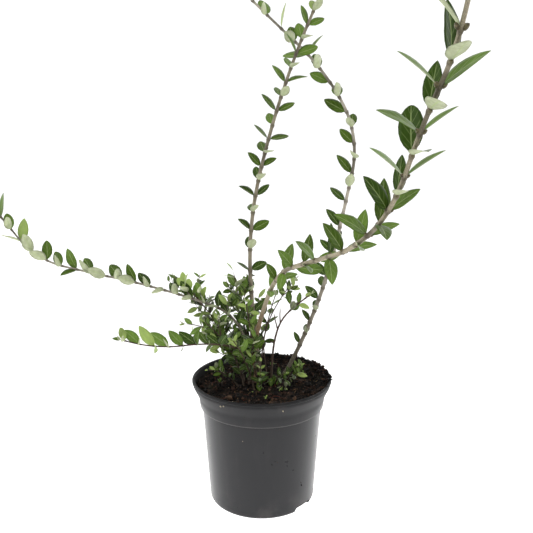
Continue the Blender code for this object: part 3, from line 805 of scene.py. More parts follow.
def cut_notches(piece):
    cutters = [notch_cutter(bearing) for bearing in NOTCH_BEARINGS]
    for cutter in cutters:
        cut = piece.modifiers.new("Notch", "BOOLEAN")
        cut.operation = "DIFFERENCE"
        cut.object = cutter
        cut.solver = "EXACT"
    depsgraph = bpy.context.evaluated_depsgraph_get()
    mesh = bpy.data.meshes.new_from_object(piece.evaluated_get(depsgraph))
    piece.modifiers.clear()
    piece.data = mesh
    for cutter in cutters:
        bpy.data.objects.remove(cutter)


def build_pot(looks):
    shape = spun(pot_profile(), looks.segments)
    smooth(shape)
    piece = new_piece("pot_shell", shape, [pot_plastic(looks)], ["pot"])
    cut_notches(piece)
    piece.data.shade_smooth()
    piece.data.set_sharp_from_angle(angle=math.radians(SHARP_ANGLE))


# Soil
def soil_height(x, y):
    """The soil's surface: lumpy, heaped against the rim at one side, lower at the left."""
    radius = math.hypot(x, y)
    rough = 0.35 + 0.65 * min(1.0, max(0.0, (radius - STEM_PATCH_RADIUS) / 0.010))
    place = Vector((x, y, 0))
    lumps = noise.fractal(place * 95, 0.8, 2.1, 5)
    clods = noise.noise(place * 48 + Vector((3.1, 0.7, 2.0)))
    away = abs((math.degrees(math.atan2(y, x)) - SOIL_HEAP_BEARING + 180) % 360 - 180)
    heap = max(0.0, 1 - (away / SOIL_HEAP_WIDTH) ** 2) * min(1.0, max(0.0, (radius - 0.030) / 0.024))
    edge = max(0.0, (radius - 0.046) / 0.016)
    relief = rough * (SOIL_LUMPS * lumps + SOIL_CLODS * clods)
    return SOIL_LEVEL + relief + SOIL_HEAP * heap + SOIL_EDGE * edge


def build_soil(looks):
    """The soil's top as a lumpy disc over the CAD filling's level, closed round its rim."""
    line = [(SOIL_RADIUS * index / SOIL_RINGS, SOIL_LEVEL) for index in range(SOIL_RINGS + 1)]
    skirt = [
        (wall_radius(height) - WALL - SOIL_CLEARANCE, height)
        for height in (SOIL_SHOULDER, COLLAR_WAIST, LEDGE_TOP, LEDGE_HEIGHT, SOIL_BOTTOM)
    ]
    shape = spun(line + skirt + [(0, SOIL_BOTTOM)], 132)
    for vertex in shape.verts:
        if vertex.co.z > SOIL_LEVEL - MM:
            vertex.co.z = soil_height(vertex.co.x, vertex.co.y)
    smooth(shape)
    new_piece("soil_filling", shape, [soil_mix(looks)], ["soil"])


def lump_templates(dice):
    """A few lumps and chips, each a roughened cube of two dozen faces."""
    meshes = []
    for number in range(8):
        shape = bmesh.new()
        bmesh.ops.create_cube(shape, size=1.0)
        bmesh.ops.subdivide_edges(shape, edges=shape.edges[:], cuts=1, use_grid_fill=True)
        for vertex in shape.verts:
            vertex.co = vertex.co.normalized() * dice.uniform(0.34, 0.62)
        flat = 0.35 if number % 2 else 0.8
        bmesh.ops.scale(shape, vec=(dice.uniform(0.8, 1.7), 1.0, flat), verts=shape.verts)
        meshes.append(mesh_of("lump", shape))
    return meshes


def tumbled(dice, spot, size):
    """The matrix of a bit of some size that lies any way up at a spot."""
    lean = Matrix.Rotation(dice.uniform(-math.pi, math.pi), 4, "X")
    roll = Matrix.Rotation(dice.uniform(-math.pi, math.pi), 4, "Y")
    turn = Matrix.Rotation(dice.uniform(0, 2 * math.pi), 4, "Z")
    return Matrix.Translation(spot) @ turn @ lean @ roll @ Matrix.Scale(size, 4)


def soil_spot(dice, reach=SOIL_RADIUS - 0.0015):
    bearing = dice.uniform(0, 360)
    spot = around(reach * math.sqrt(dice.random()), bearing, 0)
    spot.z = soil_height(spot.x, spot.y)
    return spot


def build_lumps(looks, templates, materials, dice):
    """Lumps, bark chips and pale bits on the soil."""
    shape = bmesh.new()
    for _ in range(looks.lumps):
        draw = dice.random()
        kind = sum(draw > share for share in LUMP_SHARES)
        size = looks.lump * dice.lognormvariate(0.0, 0.45)
        if kind == 3:
            size *= 0.6
        spot = soil_spot(dice) + Vector((0, 0, size * dice.uniform(-0.1, 0.3)))
        matrix = tumbled(dice, spot, size)
        add_copy(shape, dice.choice(templates), matrix, [kind])
    new_piece("soil_lumps", shape, materials, [])


def build_crumbs(templates, materials, dice):
    """Crumbs along the rim by the heap, and some that stick to the wall."""
    shape = bmesh.new()
    for _ in range(RIM_CRUMBS):
        bearing = SOIL_HEAP_BEARING + dice.gauss(0, CRUMB_SPREAD)
        inset = dice.uniform(0.0005, CRUMB_REACH)
        size = CRUMB_SIZE * dice.lognormvariate(0, 0.4)
        height = POT_HEIGHT + size * 0.25
        if inset > LIP_WIDTH:
            height += dice.uniform(-0.0035, 0.0012)
        matrix = tumbled(dice, around(RIM_RADIUS - inset, bearing, height), size)
        add_copy(shape, dice.choice(templates), matrix, [dice.choice((0, 0, 1))])
    strays = [
        (dice.uniform(0, 360), dice.choice((dice.uniform(0.100, 0.1165), dice.uniform(0.004, 0.110))),
         dice.uniform(0.0004, 0.0010), dice.choice((0, 1, 2, 3)))
        for _ in range(STRAY_CRUMBS)
    ]
    for bearing, height, size, kind in strays + list(WALL_CRUMBS):
        matrix = tumbled(dice, around(wall_radius(height), bearing, height), size)
        add_copy(shape, dice.choice(templates), matrix, [kind])
    new_piece("rim_crumbs", shape, materials, [])


def build_fibres(looks):
    """Root fibres and slivers that lie on the soil."""
    dice = random.Random(8)
    materials = [
        strewn("red_fibre", (0.075, 0.020, 0.011)), strewn("brown_fibre", (0.038, 0.022, 0.014)),
        strewn("straw_fibre", (0.170, 0.110, 0.055)),
    ]
    shape = bmesh.new()
    for _ in range(looks.fibres):
        spot = soil_spot(dice, SOIL_RADIUS - 0.006)
        bearing = dice.uniform(0, 360)
        length = dice.uniform(0.004, 0.014)
        path = Path(
            spot, length, (bearing, bearing + dice.uniform(-90, 90)),
            (dice.uniform(0, 45), dice.uniform(-50, -10)))
        places = [length * index / (FIBRE_POINTS - 1) for index in range(FIBRE_POINTS)]
        thickness = dice.uniform(0.00012, 0.00028)
        first = len(shape.faces)
        add_tube(shape, path, places, lambda place: thickness, 4, [])
        kind = dice.choice((0, 0, 1, 1, 2))
        for face in new_faces(shape, first):
            face.material_index = kind
    new_piece("soil_fibres", shape, materials, [])


def build_litter(looks):
    """Everything that is strewn on the soil and the rim."""
    dice = random.Random(5)
    templates = lump_templates(dice)
    materials = [
        strewn("peat_lump", (0.0038, 0.0028, 0.0023)), strewn("bark_chip", (0.024, 0.0122, 0.0076)),
        strewn("dry_chip", (0.060, 0.035, 0.021)), strewn("pale_bit", (0.300, 0.260, 0.180)),
    ]
    build_lumps(looks, templates, materials, dice)
    build_crumbs(templates, materials, dice)
    build_fibres(looks)


# Growth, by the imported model's rule
def blend(values, share):
    """The value at a share of the way along values that are spread evenly."""
    place = share * (len(values) - 1)
    low = min(int(place), len(values) - 2)
    return values[low] + (values[low + 1] - values[low]) * (place - low)


class Path:
    """A stem's middle line, walked in short steps, with a side vector carried along untwisted."""

    def __init__(self, foot, length, bearings, rises):
        self.length = length
        self.step = length / PATH_STEPS
        self.points = [foot]
        self.ways = []
        for index in range(PATH_STEPS):
            share = (index + 0.5) / PATH_STEPS
            bearing = math.radians(blend(bearings, share))
            rise = math.radians(blend(rises, share))
            level = math.cos(rise)
            way = Vector((level * math.cos(bearing), level * math.sin(bearing), math.sin(rise)))
            self.ways.append(way)
            self.points.append(self.points[-1] + way * self.step)
        self.sides = []
        side = Vector((1, 0, 0))
        for way in self.ways:
            side = (side - way * side.dot(way)).normalized()
            self.sides.append(side)

    def at(self, distance):
        """Point, direction and side vector at a distance from the foot; below it runs straight on."""
        place = distance / self.step
        index = max(0, min(int(place), PATH_STEPS - 1))
        point = self.points[index] + self.ways[index] * (place - index) * self.step
        return point, self.ways[index], self.sides[index]


@dataclass
class Leaf:
    """One leaf: where it leaves its stem, which way it points, where its upper face looks."""

    distance: float
    root: Vector
    along: Vector
    face: Vector
    length: float
    radius: float = 0.0
    age: float = 0.0


@dataclass
class SideTwig:
    """A short twig out of a leaf's axil, with its own leaves."""

    distance: float
    path: Path
    leaves: list


@dataclass
class Growth:
    """Everything that one shoot carries."""

    shoot: Shoot
    path: Path
    leaves: list
    twigs: list
    nodes: list


def path_of(shoot):
    foot = Vector((shoot.foot[0] * MM, shoot.foot[1] * MM, SOIL_LEVEL))
    return Path(foot, shoot.length * MM, shoot.bearings, shoot.rises)


def radius_at(shoot, path, distance):
    """Half the stem's thickness: an even taper, and a flare where it enters the soil."""
    share = max(0.0, distance / path.length)
    thickness = shoot.girth[0] + (shoot.girth[1] - shoot.girth[0]) * share
    flare = 1 + FLARE * math.exp(-max(0.0, distance) / FLARE_HEIGHT)
    return 0.5 * MM * thickness * flare


def pair_line(way, side, turn, flatten):
    """The line across the stem on which a pair stands; flatten turns it towards the level."""
    out = Matrix.Rotation(math.radians(turn), 3, way) @ side
    level = way.cross(Vector((0, 0, 1)))
    if flatten == 0 or level.length < 0.2:
        return out
    level.normalize()
    upright = level.cross(way)
    angle = math.atan2(out.dot(upright), out.dot(level)) % math.pi
    if angle <= math.pi / 2:
        angle *= 1 - flatten
    else:
        angle = math.pi - (math.pi - angle) * (1 - flatten)
    return level * math.cos(angle) + upright * math.sin(angle)


def leaf_pair(path, distance, turn, size, shoot, dice):
    """Two leaves that face each other across the stem, each a little different."""
    root, way, side = path.at(distance)
    line = pair_line(way, side, turn, shoot.flatten)
    pair = []
    for hand in (1, -1):
        spread = math.radians(shoot.spread + dice.uniform(-14, 14) * shoot.restless)
        along = way * math.cos(spread) + line * hand * math.sin(spread)
        along += Vector((0, 0, shoot.lift + dice.uniform(-0.15, 0.15) * shoot.restless))
        along.normalize()
        own = (way - along * way.dot(along)).normalized()
        lit = (LIGHT - along * LIGHT.dot(along)).normalized()
        turned = shoot.light * (1 - max(0.0, along.dot(LIGHT)) ** 2)
        face = own.lerp(lit, turned).normalized()
        roll = math.radians(dice.uniform(-22, 22) * shoot.restless)
        face = Matrix.Rotation(roll, 3, along) @ face
        length = size * dice.uniform(0.85, 1.12)
        if dice.random() > LOST_LEAVES + shoot.one_sided * max(0.0, along.x):
            pair.append(Leaf(distance, root, along, face, length))
    return pair


def side_twig(shoot, path, leaf, dice):
    """A twig that leaves the stem beside a leaf and turns upwards, with two or three pairs."""
    way = path.at(leaf.distance)[1]
    start = (leaf.along + way * 0.6 + Vector((0, 0, 0.2))).normalized()
    bearing = math.degrees(math.atan2(start.y, start.x))
    rise = math.degrees(math.asin(start.z))
    length = dice.uniform(*SIDE_TWIG)
    twig = Path(leaf.root, length, (bearing, bearing), (rise, min(rise + 25, 85)))
    leaves = []
    turn = dice.uniform(0, 90)
    distance = 0.55 * length
    while distance < length:
        leaves += leaf_pair(twig, distance, turn, leaf.length * 0.72, shoot, dice)
        distance += 0.4 * length
        turn += 90
    return SideTwig(leaf.distance, twig, leaves)


def grow(shoot):
    """Leaves and side twigs, each mass drawn by its own seed: each pair stands across the last."""
    path = path_of(shoot)
    ends = [cut * MM for cut in shoot.cuts[1:]] + [path.length - 0.002]
    leaves = []
    twigs = []
    nodes = []
    distance = shoot.bare * MM
    turn = shoot.turn
    for seed, end in zip(shoot.seeds, ends):
        dice = random.Random(seed)
        while distance < end:
            share = distance / path.length
            size = blend(shoot.leaf, share) * MM
            closing = min(1.0, 0.45 + (path.length - distance) / 0.040)
            pair = leaf_pair(path, distance, turn + dice.uniform(-9, 9), size * closing, shoot, dice)
            for leaf in pair:
                leaf.radius = radius_at(shoot, path, distance)
                leaf.age = 1 - share
            leaves += pair
            if dice.random() < shoot.branching and pair and share < 0.75:
                twigs.append(side_twig(shoot, path, pair[0], dice))
            nodes.append((distance, turn))
            distance += blend(shoot.spacing, share) * MM * (0.55 + 0.45 * closing)
            turn += 90
    return Growth(shoot, path, leaves, twigs, nodes)


def packed_tree(names):
    """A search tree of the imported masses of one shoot."""
    points = []
    faces = []
    for name in names:
        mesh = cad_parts[name].data
        first = len(points)
        points += [vertex.co.copy() for vertex in mesh.vertices]
        faces += [[first + index for index in polygon.vertices] for polygon in mesh.polygons]
    return BVHTree.FromPolygons(points, faces)


def packed(tree, leaf):
    """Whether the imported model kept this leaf, which it skips where it would touch a neighbour."""
    middle = leaf.root + leaf.along * (leaf.length * BEAD_MIDDLE)
    return tree.find_nearest(middle, BEAD_REACH)[0] is not None


def keep_packed(growth):
    tree = packed_tree(growth.shoot.parts)
    growth.leaves = [leaf for leaf in growth.leaves if packed(tree, leaf)]
    for twig in growth.twigs:
        twig.leaves = [leaf for leaf in twig.leaves if packed(tree, leaf)]
    growth.twigs = [twig for twig in growth.twigs if twig.leaves]
    return growth


@lru_cache(maxsize=None)
def long_growths():
    return {name: keep_packed(grow(shoot)) for name, shoot in LONG_SHOOTS.items()}


def inside(point, low, high, spare):
    return all(low[axis] - spare < point[axis] < high[axis] + spare for axis in range(3))


def fine_twigs(growth, dice):
    """Finer twigs that fill a low twig's own space, out of its axils and with smaller leaves."""
    low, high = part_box(growth.shoot.parts[0])
    for distance, turn in growth.nodes:
        if dice.random() > FINE_TWIG_SHARE:
            continue
        root, way, side = growth.path.at(distance)
        line = Matrix.Rotation(math.radians(turn + dice.choice((0, 180))), 3, way) @ side
        start = (way * 0.7 + line + Vector((0, 0, dice.uniform(0.0, 0.5)))).normalized()
        bearing = math.degrees(math.atan2(start.y, start.x))
        rise = math.degrees(math.asin(start.z))
        length = dice.uniform(*FINE_TWIG)
        path = Path(root, length, (bearing, bearing + dice.uniform(-30, 30)),
                    (rise, min(rise + dice.uniform(0, 40), 88)))
        leaves = []
        place = 0.30 * length
        spin = dice.uniform(0, 90)
        while place < length:
            size = dice.uniform(*FINE_LEAF)
            pair = leaf_pair(path, place, spin, size, growth.shoot, dice)
            for leaf in pair:
                leaf.age = dice.uniform(0.2, 1.0) * (1.15 - place / length)
                if inside(leaf.root + leaf.along * leaf.length, low, high, REACH_SPARE):
                    leaves.append(leaf)
            place += dice.uniform(*FINE_SPACING)
            spin += 90
        if leaves and inside(path.points[-1], low, high, REACH_SPARE):
            growth.twigs.append(SideTwig(distance, path, leaves))


def bare_twigs(growth):
    """The forks of the bare twig, which carry no leaves."""
    for distance, length, bearings, rises in BARE_TWIGS:
        root = growth.path.at(distance * MM)[0]
        path = Path(root, length * MM, bearings, rises)
        growth.twigs.append(SideTwig(distance * MM, path, []))


@lru_cache(maxsize=None)
def low_growths():
    growths = []
    for number, shoot in enumerate(LOW_TWIGS, 1):
        growth = keep_packed(grow(shoot))
        if shoot.branching:
            fine_twigs(growth, random.Random(600 + number))
        else:
            bare_twigs(growth)
        growths.append(growth)
    return growths


# Stems
def nearness(place, nodes, reach):
    """1 at a node and close to 0 twice the reach away from the nearest one."""
    return max((math.exp(-(((place - node) / reach) ** 2)) for node in nodes), default=0.0)


def ring_matrix(path, distance, radius):
    point, way, side = path.at(distance)
    up = way.cross(side)
    turn = Matrix((side, up, way)).transposed().to_4x4()
    return Matrix.Translation(point) @ turn @ Matrix.Scale(radius, 4)


def add_tube(shape, path, places, radius, sides, nodes):
    """A closed tube along a path, drawn out ring by ring, that carries how near each node is."""
    near_node = shape.verts.layers.float.get("node") or shape.verts.layers.float.new("node")
    first = len(shape.faces)
    last = ring_matrix(path, places[0], radius(places[0]))
    ring = bmesh.ops.create_circle(shape, segments=sides, radius=1.0, matrix=last)["verts"]
    start = ring
    edges = list({edge for vertex in ring for edge in vertex.link_edges})
    for place in places[1:]:
        matrix = ring_matrix(path, place, radius(place))
        drawn = bmesh.ops.extrude_edge_only(shape, edges=edges)["geom"]
        ring = [item for item in drawn if isinstance(item, bmesh.types.BMVert)]
        members = set(ring)
        edges = [
            item for item in drawn
            if isinstance(item, bmesh.types.BMEdge) and set(item.verts) <= members
        ]
        bmesh.ops.transform(shape, matrix=matrix @ last.inverted(), verts=ring)
        last = matrix
        share = nearness(place, nodes, 1.6 * NODE_LENGTH)
        for vertex in ring:
            vertex[near_node] = share
    bmesh.ops.contextual_create(shape, geom=start)
    tip = path.at(places[-1])
    bmesh.ops.pointmerge(shape, verts=ring, merge_co=tip[0] + tip[1] * radius(places[-1]))
    faces = new_faces(shape, first)
    bmesh.ops.recalc_face_normals(shape, faces=faces)
    for face in faces:
        face.smooth = True


def tube_places(start, end, nodes, step):
    """Rings at an even step, and closer together over each node's swelling."""
    count = max(2, round((end - start) / step))
    places = {start + (end - start) * index / count for index in range(count + 1)}
    for node in nodes:
        for offset in (-1.5, -0.75, 0, 0.75, 1.5):
            place = node + offset * NODE_LENGTH
            if start < place < end:
                places.add(place)
    ordered = sorted(places)
    kept = [ordered[0]]
    for place in ordered[1:]:
        if place - kept[-1] > RING_GAP:
            kept.append(place)
    return kept


def swollen(shoot, path, nodes):
    """The stem's radius with a swelling at each node and a slight unevenness between them."""
    def radius(distance):
        swell = NODE_SWELLING * nearness(distance, nodes, NODE_LENGTH)
        uneven = 0.04 * noise.noise(Vector((distance * 160, shoot.girth[0], 0)))
        return radius_at(shoot, path, distance) * (1 + swell + uneven)
    return radius


def add_stem(shape, growth, sides, step):
    """The stem of a shoot with its side twigs."""
    nodes = [distance for distance, turn in growth.nodes]
    places = tube_places(-STEM_SUNK, growth.path.length, nodes, step)
    add_tube(shape, growth.path, places, swollen(growth.shoot, growth.path, nodes), sides, nodes)
    for twig in growth.twigs:
        own = sorted({leaf.distance for leaf in twig.leaves})
        places = tube_places(0.0, twig.path.length, own, TWIG_STEP)
        thick = SIDE_TWIG_RADIUS if growth.shoot.girth[0] > THICK_GIRTH else FINE_TWIG_RADIUS
        add_tube(shape, twig.path, places, lambda place: thick * (1.2 - 0.5 * place / twig.path.length),
                 TWIG_SIDES, own)


def build_stems(looks):
    """A bark piece for each long shoot, and one for the low twigs."""
    taupe = shoot_bark("shoot_bark", tinted(looks.light, 0.70), looks.dark, looks.dark, 0.035)
    ruddy = shoot_bark("front_bark", looks.light, looks.dark, looks.red, 0.105)
    ashen = shoot_bark("thin_bark", looks.pale, looks.dark, looks.dark, 0.035)
    purple = shoot_bark("twig_bark", TWIG_BARK, TWIG_BARK_DARK, looks.dark, 0.020)
    barks = {"centre": taupe, "right": ashen, "front": ruddy, "left": ashen, "low": purple}
    for name, growth in long_growths().items():
        shape = bmesh.new()
        add_stem(shape, growth, looks.sides, LONG_STEP)
        new_piece(f"bark_{name}", shape, [barks[name]], growth.shoot.parts)
    shape = bmesh.new()
    for growth in low_growths():
        add_stem(shape, growth, LOW_SIDES, LOW_STEP)
    names = [part for growth in low_growths() for part in growth.shoot.parts]
    new_piece("bark_low_twigs", shape, [purple], names)


def build_buds():
    """Pairs of scaly buds in the leaf axils, largest on the upper part of the front shoot."""
    template = bmesh.new()
    bmesh.ops.create_uvsphere(template, u_segments=6, v_segments=5, radius=1.0)
    for vertex in template.verts:
        taper = 1 - 0.35 * max(0.0, vertex.co.z)
        vertex.co = Vector((vertex.co.x * taper, vertex.co.y * taper, vertex.co.z * 1.35 + 0.6))
    mesh = mesh_of("bud", template)
    dice = random.Random(21)
    shape = bmesh.new()
    for name, growth in long_growths().items():
        for distance, turn in growth.nodes:
            point, way, side = growth.path.at(distance)
            line = pair_line(way, side, turn, growth.shoot.flatten)
            share = distance / growth.path.length
            size = 0.00042 * dice.uniform(0.8, 1.3)
            if name == "front":
                size = (0.00060 + 0.00095 * share) * dice.uniform(0.8, 1.15)
            for hand in (1, -1):
                radius = radius_at(growth.shoot, growth.path, distance)
                foot = point + line * hand * radius * 0.9 + way * size * 0.8
                up = (way + line * hand * 0.9).normalized()
                turned = up.to_track_quat("Z", "Y").to_matrix().to_4x4()
                add_copy(shape, mesh, Matrix.Translation(foot) @ turned @ Matrix.Scale(size, 4))
    new_piece("axil_buds", shape, [bud_scales()], [])


# Leaves
def outline(share, width, point):
    """Half a leaf's width: a short stalk and a rounded base, and the higher point, the sharper tip."""
    blade = max(0.0, (share - 0.045) / 0.955)
    middle = LEAF_BASE / (LEAF_BASE + point)
    widest = middle ** LEAF_BASE * (1 - middle) ** point
    half = 0.5 * width * blade ** LEAF_BASE * (1 - blade) ** point / widest
    if share > 0.5:
        return half
    return max(LEAF_STALK, half)


def leaf_shape():
    """An empty bmesh for leaves, which carry where on the blade each point lies."""
    shape = bmesh.new()
    shape.loops.layers.uv.new("leaf")
    return shape


def leaf_template(dice, looks, blade):
    """A closed blade one unit long along +X with its upper face to +Z, folded and curled."""
    fold = math.tan(math.radians(dice.uniform(*blade.folds)))
    curl = dice.uniform(*blade.curls)
    bend = dice.uniform(-0.06, 0.06)
    twist = math.radians(dice.uniform(-12, 12))
    wave = dice.uniform(0.0, 0.010)
    shape = leaf_shape()
    bmesh.ops.create_grid(
        shape, x_segments=blade.across, y_segments=blade.along, size=1.0, calc_uvs=True)
    doubled = bmesh.ops.duplicate(shape, geom=shape.verts[:] + shape.edges[:] + shape.faces[:])
    lower = [item for item in doubled["geom"] if isinstance(item, bmesh.types.BMFace)]
    for face in lower:
        face.material_index = 1
    bmesh.ops.reverse_faces(shape, faces=lower)
    under = {vertex for face in lower for vertex in face.verts}
    for vertex in shape.verts:
        aside = vertex.co.x
        share = 0.5 - 0.5 * math.cos(math.pi * (vertex.co.y + 1) / 2)
        half = outline(share, looks.width * blade.width, blade.point)
        rise = fold * abs(aside) * half - curl * share * share
        rise += wave * math.sin(share * 14) * aside * aside
        if vertex in under:
            rise -= looks.thickness * (1 - aside * aside) * math.sin(math.pi * min(1.0, share * 0.98))
        turned = twist * share
        y = -aside * half * math.cos(turned)
        z = rise + aside * half * math.sin(turned)
        vertex.co = Vector((share, y + bend * share * share, z))
    bmesh.ops.remove_doubles(shape, verts=shape.verts, dist=0.0004)
    return mesh_of("leaf", shape)


def leaf_templates(dice, looks, blade, count):
    return [leaf_template(dice, looks, blade) for _ in range(count)]


def leaf_matrix(leaf):
    across = leaf.face.cross(leaf.along)
    turn = Matrix((leaf.along, across, leaf.face)).transposed().to_4x4()
    inset = leaf.radius * 0.7
    start = Matrix.Translation(leaf.root + leaf.along * inset)
    return start @ turn @ Matrix.Scale(leaf.length - inset, 4)


def tip_leaves(growth, dice):
    """A small pair of young leaves that closes a shoot's or twig's end."""
    path = growth.path
    end = path.length
    root, way, side = path.at(end)
    pair = []
    for hand in (1, -1):
        along = (way + side * hand * 0.35 + Vector((0, 0, 0.1))).normalized()
        face = (side * -hand - along * (side * -hand).dot(along)).normalized()
        length = growth.shoot.leaf[-1] * MM * dice.uniform(0.30, 0.45)
        pair.append(Leaf(end, root, along, face, length, 0.0, 0.05))
    return pair


def leaves_of(growth):
    return growth.leaves + [leaf for twig in growth.twigs for leaf in twig.leaves]


def front_leaf(leaf, dice):
    """A leaf of the front shoot: darker near the tip, and more level where it points to the side, where
    it also takes the lighter fresh colour as a painted sheen.
    """
    if abs(leaf.along.x) <= SIDEWAYS:
        return replace(leaf, age=0.75 - 0.5 * leaf.age)
    sky = (Vector((0, 0, 1)) - leaf.along * leaf.along.z).normalized()
    face = leaf.face.lerp(sky, dice.uniform(0.18, 0.56)).normalized()
    # Sideways leaves take the lighter fresh colour: a painted sheen.
    return replace(leaf, age=0.3, face=face)


def add_leaves(shape, leaves, foliage, flat, folded, dice):
    """Add leaves, folded where they point at the light, coloured by how old each one is."""
    for leaf in leaves:
        age = leaf.age + dice.uniform(-0.18, 0.18)
        kind = sum(age < limit for limit in foliage.ages)
        templates = folded if leaf.along.dot(LIGHT) > FOLDS_TO_LIGHT else flat
        add_copy(shape, dice.choice(templates), leaf_matrix(leaf), [kind, foliage.unders[kind]])


def leaf_materials(looks):
    """Four upper faces from old to young, and three lower ones: usual, young and shaded."""
    return [
        leaf_blade("leaf_old", looks, looks.dark, 0.30),
        leaf_blade("leaf_grown", looks, looks.grown, 0.32),
        leaf_blade("leaf_fresh", looks, looks.fresh, 0.34),
        leaf_blade("leaf_young", looks, looks.young, 0.38),
        leaf_underside("leaf_underside", looks, looks.under),
        leaf_underside("leaf_underside_young", looks, tinted(looks.under, 1.18)),
        leaf_underside("leaf_underside_shaded", looks, tinted(looks.under, 0.45)),
    ]


def build_shoot_leaves(looks, materials, dice):
    """A leaf piece for each long shoot."""
    for name, growth in long_growths().items():
        foliage = FRONT_FOLIAGE if name == "front" else SHOOT_FOLIAGE
        flat = leaf_templates(dice, looks, foliage.flat, SHOOT_BLADES)
        folded = leaf_templates(dice, looks, foliage.folded, SHOOT_BLADES)
        leaves = leaves_of(growth)
        if name == "front":
            leaves = [front_leaf(leaf, dice) for leaf in leaves]
        leaves += tip_leaves(growth, dice)
        shape = leaf_shape()
        add_leaves(shape, leaves, foliage, flat, folded, dice)
        new_piece(f"leaves_{name}", shape, materials, growth.shoot.parts[1:])


def build_clump_leaves(looks, materials, dice):
    """Two leaf pieces for the clump, which share its twigs between them."""
    templates = leaf_templates(dice, looks, CLUMP_BLADE, CLUMP_BLADES)
    for name, growths in (("left", low_growths()[0::2]), ("right", low_growths()[1::2])):
        shape = leaf_shape()
        for growth in growths:
            leaves = leaves_of(growth) + tip_leaves(growth, dice)
            add_leaves(shape, leaves, CLUMP_FOLIAGE, templates, templates, dice)
        names = [growth.shoot.parts[0] for growth in growths]
        new_piece(f"leaves_clump_{name}", shape, materials, names)


def build_sprouts(looks, materials):
    """Tiny seedlings and tufts on the soil."""
    dice = random.Random(17)
    templates = leaf_templates(dice, looks, SPROUT_BLADE, SPROUT_BLADES)
    shape = leaf_shape()
    for x, y, usual in SPROUTS:
        for _ in range(dice.randint(4, 8)):
            px = (x + dice.gauss(0, 0.6 * usual)) * MM
            py = (y + dice.gauss(0, 0.6 * usual)) * MM
            root = Vector((px, py, soil_height(px, py)))
            along = Vector((dice.uniform(-1, 1), dice.uniform(-1, 1), dice.uniform(0.4, 1.4)))
            along.normalize()
            face = (Vector((0, 0, 1)) - along * along.z).normalized()
            leaf = Leaf(0, root, along, face, usual * MM * dice.uniform(0.7, 1.35))
            kind = dice.choice((0, 1, 1, 1) if usual > SPROUT_LARGE else (1, 2, 3))
            add_copy(shape, dice.choice(templates), leaf_matrix(leaf), [kind, 4])
    new_piece("soil_sprouts", shape, materials, [])


def build_leaves(looks):
    """All leaves, from the sprouts on the soil to the shoots."""
    materials = leaf_materials(looks)
    build_sprouts(looks, materials)
    dice = random.Random(3)
    build_shoot_leaves(looks, materials, dice)
    build_clump_leaves(looks, materials, dice)


# Studio
def add_light(name, size, power, place, target):
    data = bpy.data.lights.new(name, "AREA")
    data.shape = "DISK"
    data.size = size
    data.energy = power
    lamp = add_object(name, data)
    lamp.location = place
    lamp.rotation_euler = (Vector(target) - Vector(place)).to_track_quat("-Z", "Y").to_euler()


def add_floor(looks):
    """A round pale floor that curves up into a wall, with its faces turned inwards."""
    radius = looks.floor_radius
    bend = radius * 0.35
    profile = [(0, 0), (radius * 0.3, 0)] + arc((radius - bend, bend), bend, -90, 0, 16)
    profile.append((radius, radius * 0.8))
    shape = spun(profile, FLOOR_SEGMENTS)
    smooth(shape)
    for face in shape.faces:
        if face.normal.z < 0 or face.normal.dot(face.calc_center_median()) > 0:
            face.normal_flip()
    mesh = mesh_of("studio_floor", shape)
    mesh.materials.append(studio_floor(looks))
    floor = add_object("studio_floor", mesh)


def add_camera(looks):
    """The camera from which the photograph was taken."""
    data = bpy.data.cameras.new("camera")
    data.lens = looks.lens
    data.sensor_width = SENSOR_WIDTH
    data.clip_start = NEAR_CLIP
    camera = add_object("camera", data)
    camera.location = EYE
    camera.rotation_euler = (math.radians(90 - PITCH_DOWN), 0, 0)
    bpy.context.scene.camera = camera


def build_studio(looks):
    """Floor, even light all round, five soft lamps and the camera."""
    add_floor(looks)
    bpy.context.scene.view_settings.view_transform = "Standard"
    world = bpy.data.worlds.new("studio_light")
    world.use_nodes = True
    background = world.node_tree.nodes["Background"]
    background.inputs["Color"].default_value = (1, 1, 1, 1)
    background.inputs["Strength"].default_value = looks.surround
    bpy.context.scene.world = world
    add_light("key_light", 0.9, looks.key, (-0.7, -0.9, 1.5), (0, 0, 0.2))
    for side, name in ((-1, "left"), (1, "right")):
        add_light(f"{name}_fill", 1.0, looks.fill, (side * 1.4, -0.1, 0.7), (0, 0, 0.2))
        add_light(f"{name}_rim", 0.9, looks.rim, (side * 1.1, 1.2, 0.45), (0, 0, 0.1))
    add_camera(looks)


# Operators and panel
class HONEYSUCKLE_OT_studio(bpy.types.Operator):
    """Add the floor, the lights and the camera"""

    bl_idname = "honeysuckle.studio"
    bl_label = "Studio"
    bl_options = {"REGISTER", "UNDO"}

    def execute(self, context):
        build_studio(context.scene.honeysuckle.studio)
        return {"FINISHED"}


class HONEYSUCKLE_OT_pot(bpy.types.Operator):
    """Add the pot with its lip, collar and foot notches"""

    bl_idname = "honeysuckle.pot"
    bl_label = "Pot"
    bl_options = {"REGISTER", "UNDO"}

    def execute(self, context):
        build_pot(context.scene.honeysuckle.pot)
        return {"FINISHED"}


class HONEYSUCKLE_OT_soil(bpy.types.Operator):
    """Add the soil's filling"""

    bl_idname = "honeysuckle.soil"
    bl_label = "Soil"
    bl_options = {"REGISTER", "UNDO"}

    def execute(self, context):
        build_soil(context.scene.honeysuckle.soil)
        return {"FINISHED"}


class HONEYSUCKLE_OT_litter(bpy.types.Operator):
    """Add the lumps, crumbs and fibres on the soil and the rim"""

    bl_idname = "honeysuckle.litter"
    bl_label = "Litter"
    bl_options = {"REGISTER", "UNDO"}

    def execute(self, context):
        build_litter(context.scene.honeysuckle.soil)
        return {"FINISHED"}


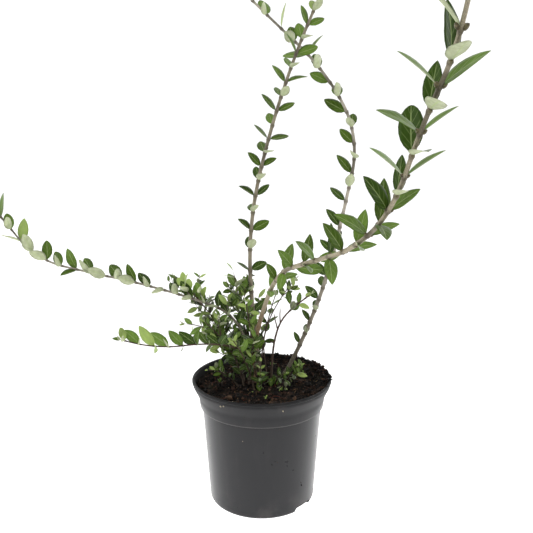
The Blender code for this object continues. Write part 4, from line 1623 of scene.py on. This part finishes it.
class HONEYSUCKLE_OT_stems(bpy.types.Operator):
    """Add the stems and twigs"""

    bl_idname = "honeysuckle.stems"
    bl_label = "Stems"
    bl_options = {"REGISTER", "UNDO"}

    def execute(self, context):
        build_stems(context.scene.honeysuckle.bark)
        return {"FINISHED"}


class HONEYSUCKLE_OT_buds(bpy.types.Operator):
    """Add the buds in the leaf axils"""

    bl_idname = "honeysuckle.buds"
    bl_label = "Buds"
    bl_options = {"REGISTER", "UNDO"}

    def execute(self, context):
        build_buds()
        return {"FINISHED"}


class HONEYSUCKLE_OT_leaves(bpy.types.Operator):
    """Add the leaves of every shoot, of the clump and of the sprouts"""

    bl_idname = "honeysuckle.leaves"
    bl_label = "Leaves"
    bl_options = {"REGISTER", "UNDO"}

    def execute(self, context):
        build_leaves(context.scene.honeysuckle.leaf)
        return {"FINISHED"}


OPERATORS = (
    HONEYSUCKLE_OT_studio, HONEYSUCKLE_OT_pot, HONEYSUCKLE_OT_soil, HONEYSUCKLE_OT_litter,
    HONEYSUCKLE_OT_stems, HONEYSUCKLE_OT_buds, HONEYSUCKLE_OT_leaves,
)


class HONEYSUCKLE_PT_panel(bpy.types.Panel):
    """Settings and operators of the potted honeysuckle"""

    bl_idname = "HONEYSUCKLE_PT_panel"
    bl_label = "Potted box honeysuckle"
    bl_space_type = "VIEW_3D"
    bl_region_type = "UI"
    bl_category = "Honeysuckle"

    def draw(self, context):
        looks = context.scene.honeysuckle
        for group_name in ("pot", "soil", "bark", "leaf", "studio"):
            group = getattr(looks, group_name)
            box = self.layout.box()
            box.label(text=group_name.capitalize())
            for name in group.__annotations__:
                box.prop(group, name)
        for operator in OPERATORS:
            self.layout.operator(operator.bl_idname)


CLASSES = (
    PotLooks, SoilLooks, BarkLooks, LeafLooks, StudioLooks, HoneysuckleLooks, *OPERATORS,
    HONEYSUCKLE_PT_panel,
)


def register():
    for kind in CLASSES:
        bpy.utils.register_class(kind)
    bpy.types.Scene.honeysuckle = PointerProperty(type=HoneysuckleLooks)


def unregister():
    del bpy.types.Scene.honeysuckle
    for kind in reversed(CLASSES):
        bpy.utils.unregister_class(kind)


def main():
    register()
    bpy.ops.honeysuckle.studio()
    bpy.ops.honeysuckle.pot()
    bpy.ops.honeysuckle.soil()
    bpy.ops.honeysuckle.litter()
    bpy.ops.honeysuckle.stems()
    bpy.ops.honeysuckle.buds()
    bpy.ops.honeysuckle.leaves()


if __name__ == "__main__":
    main()
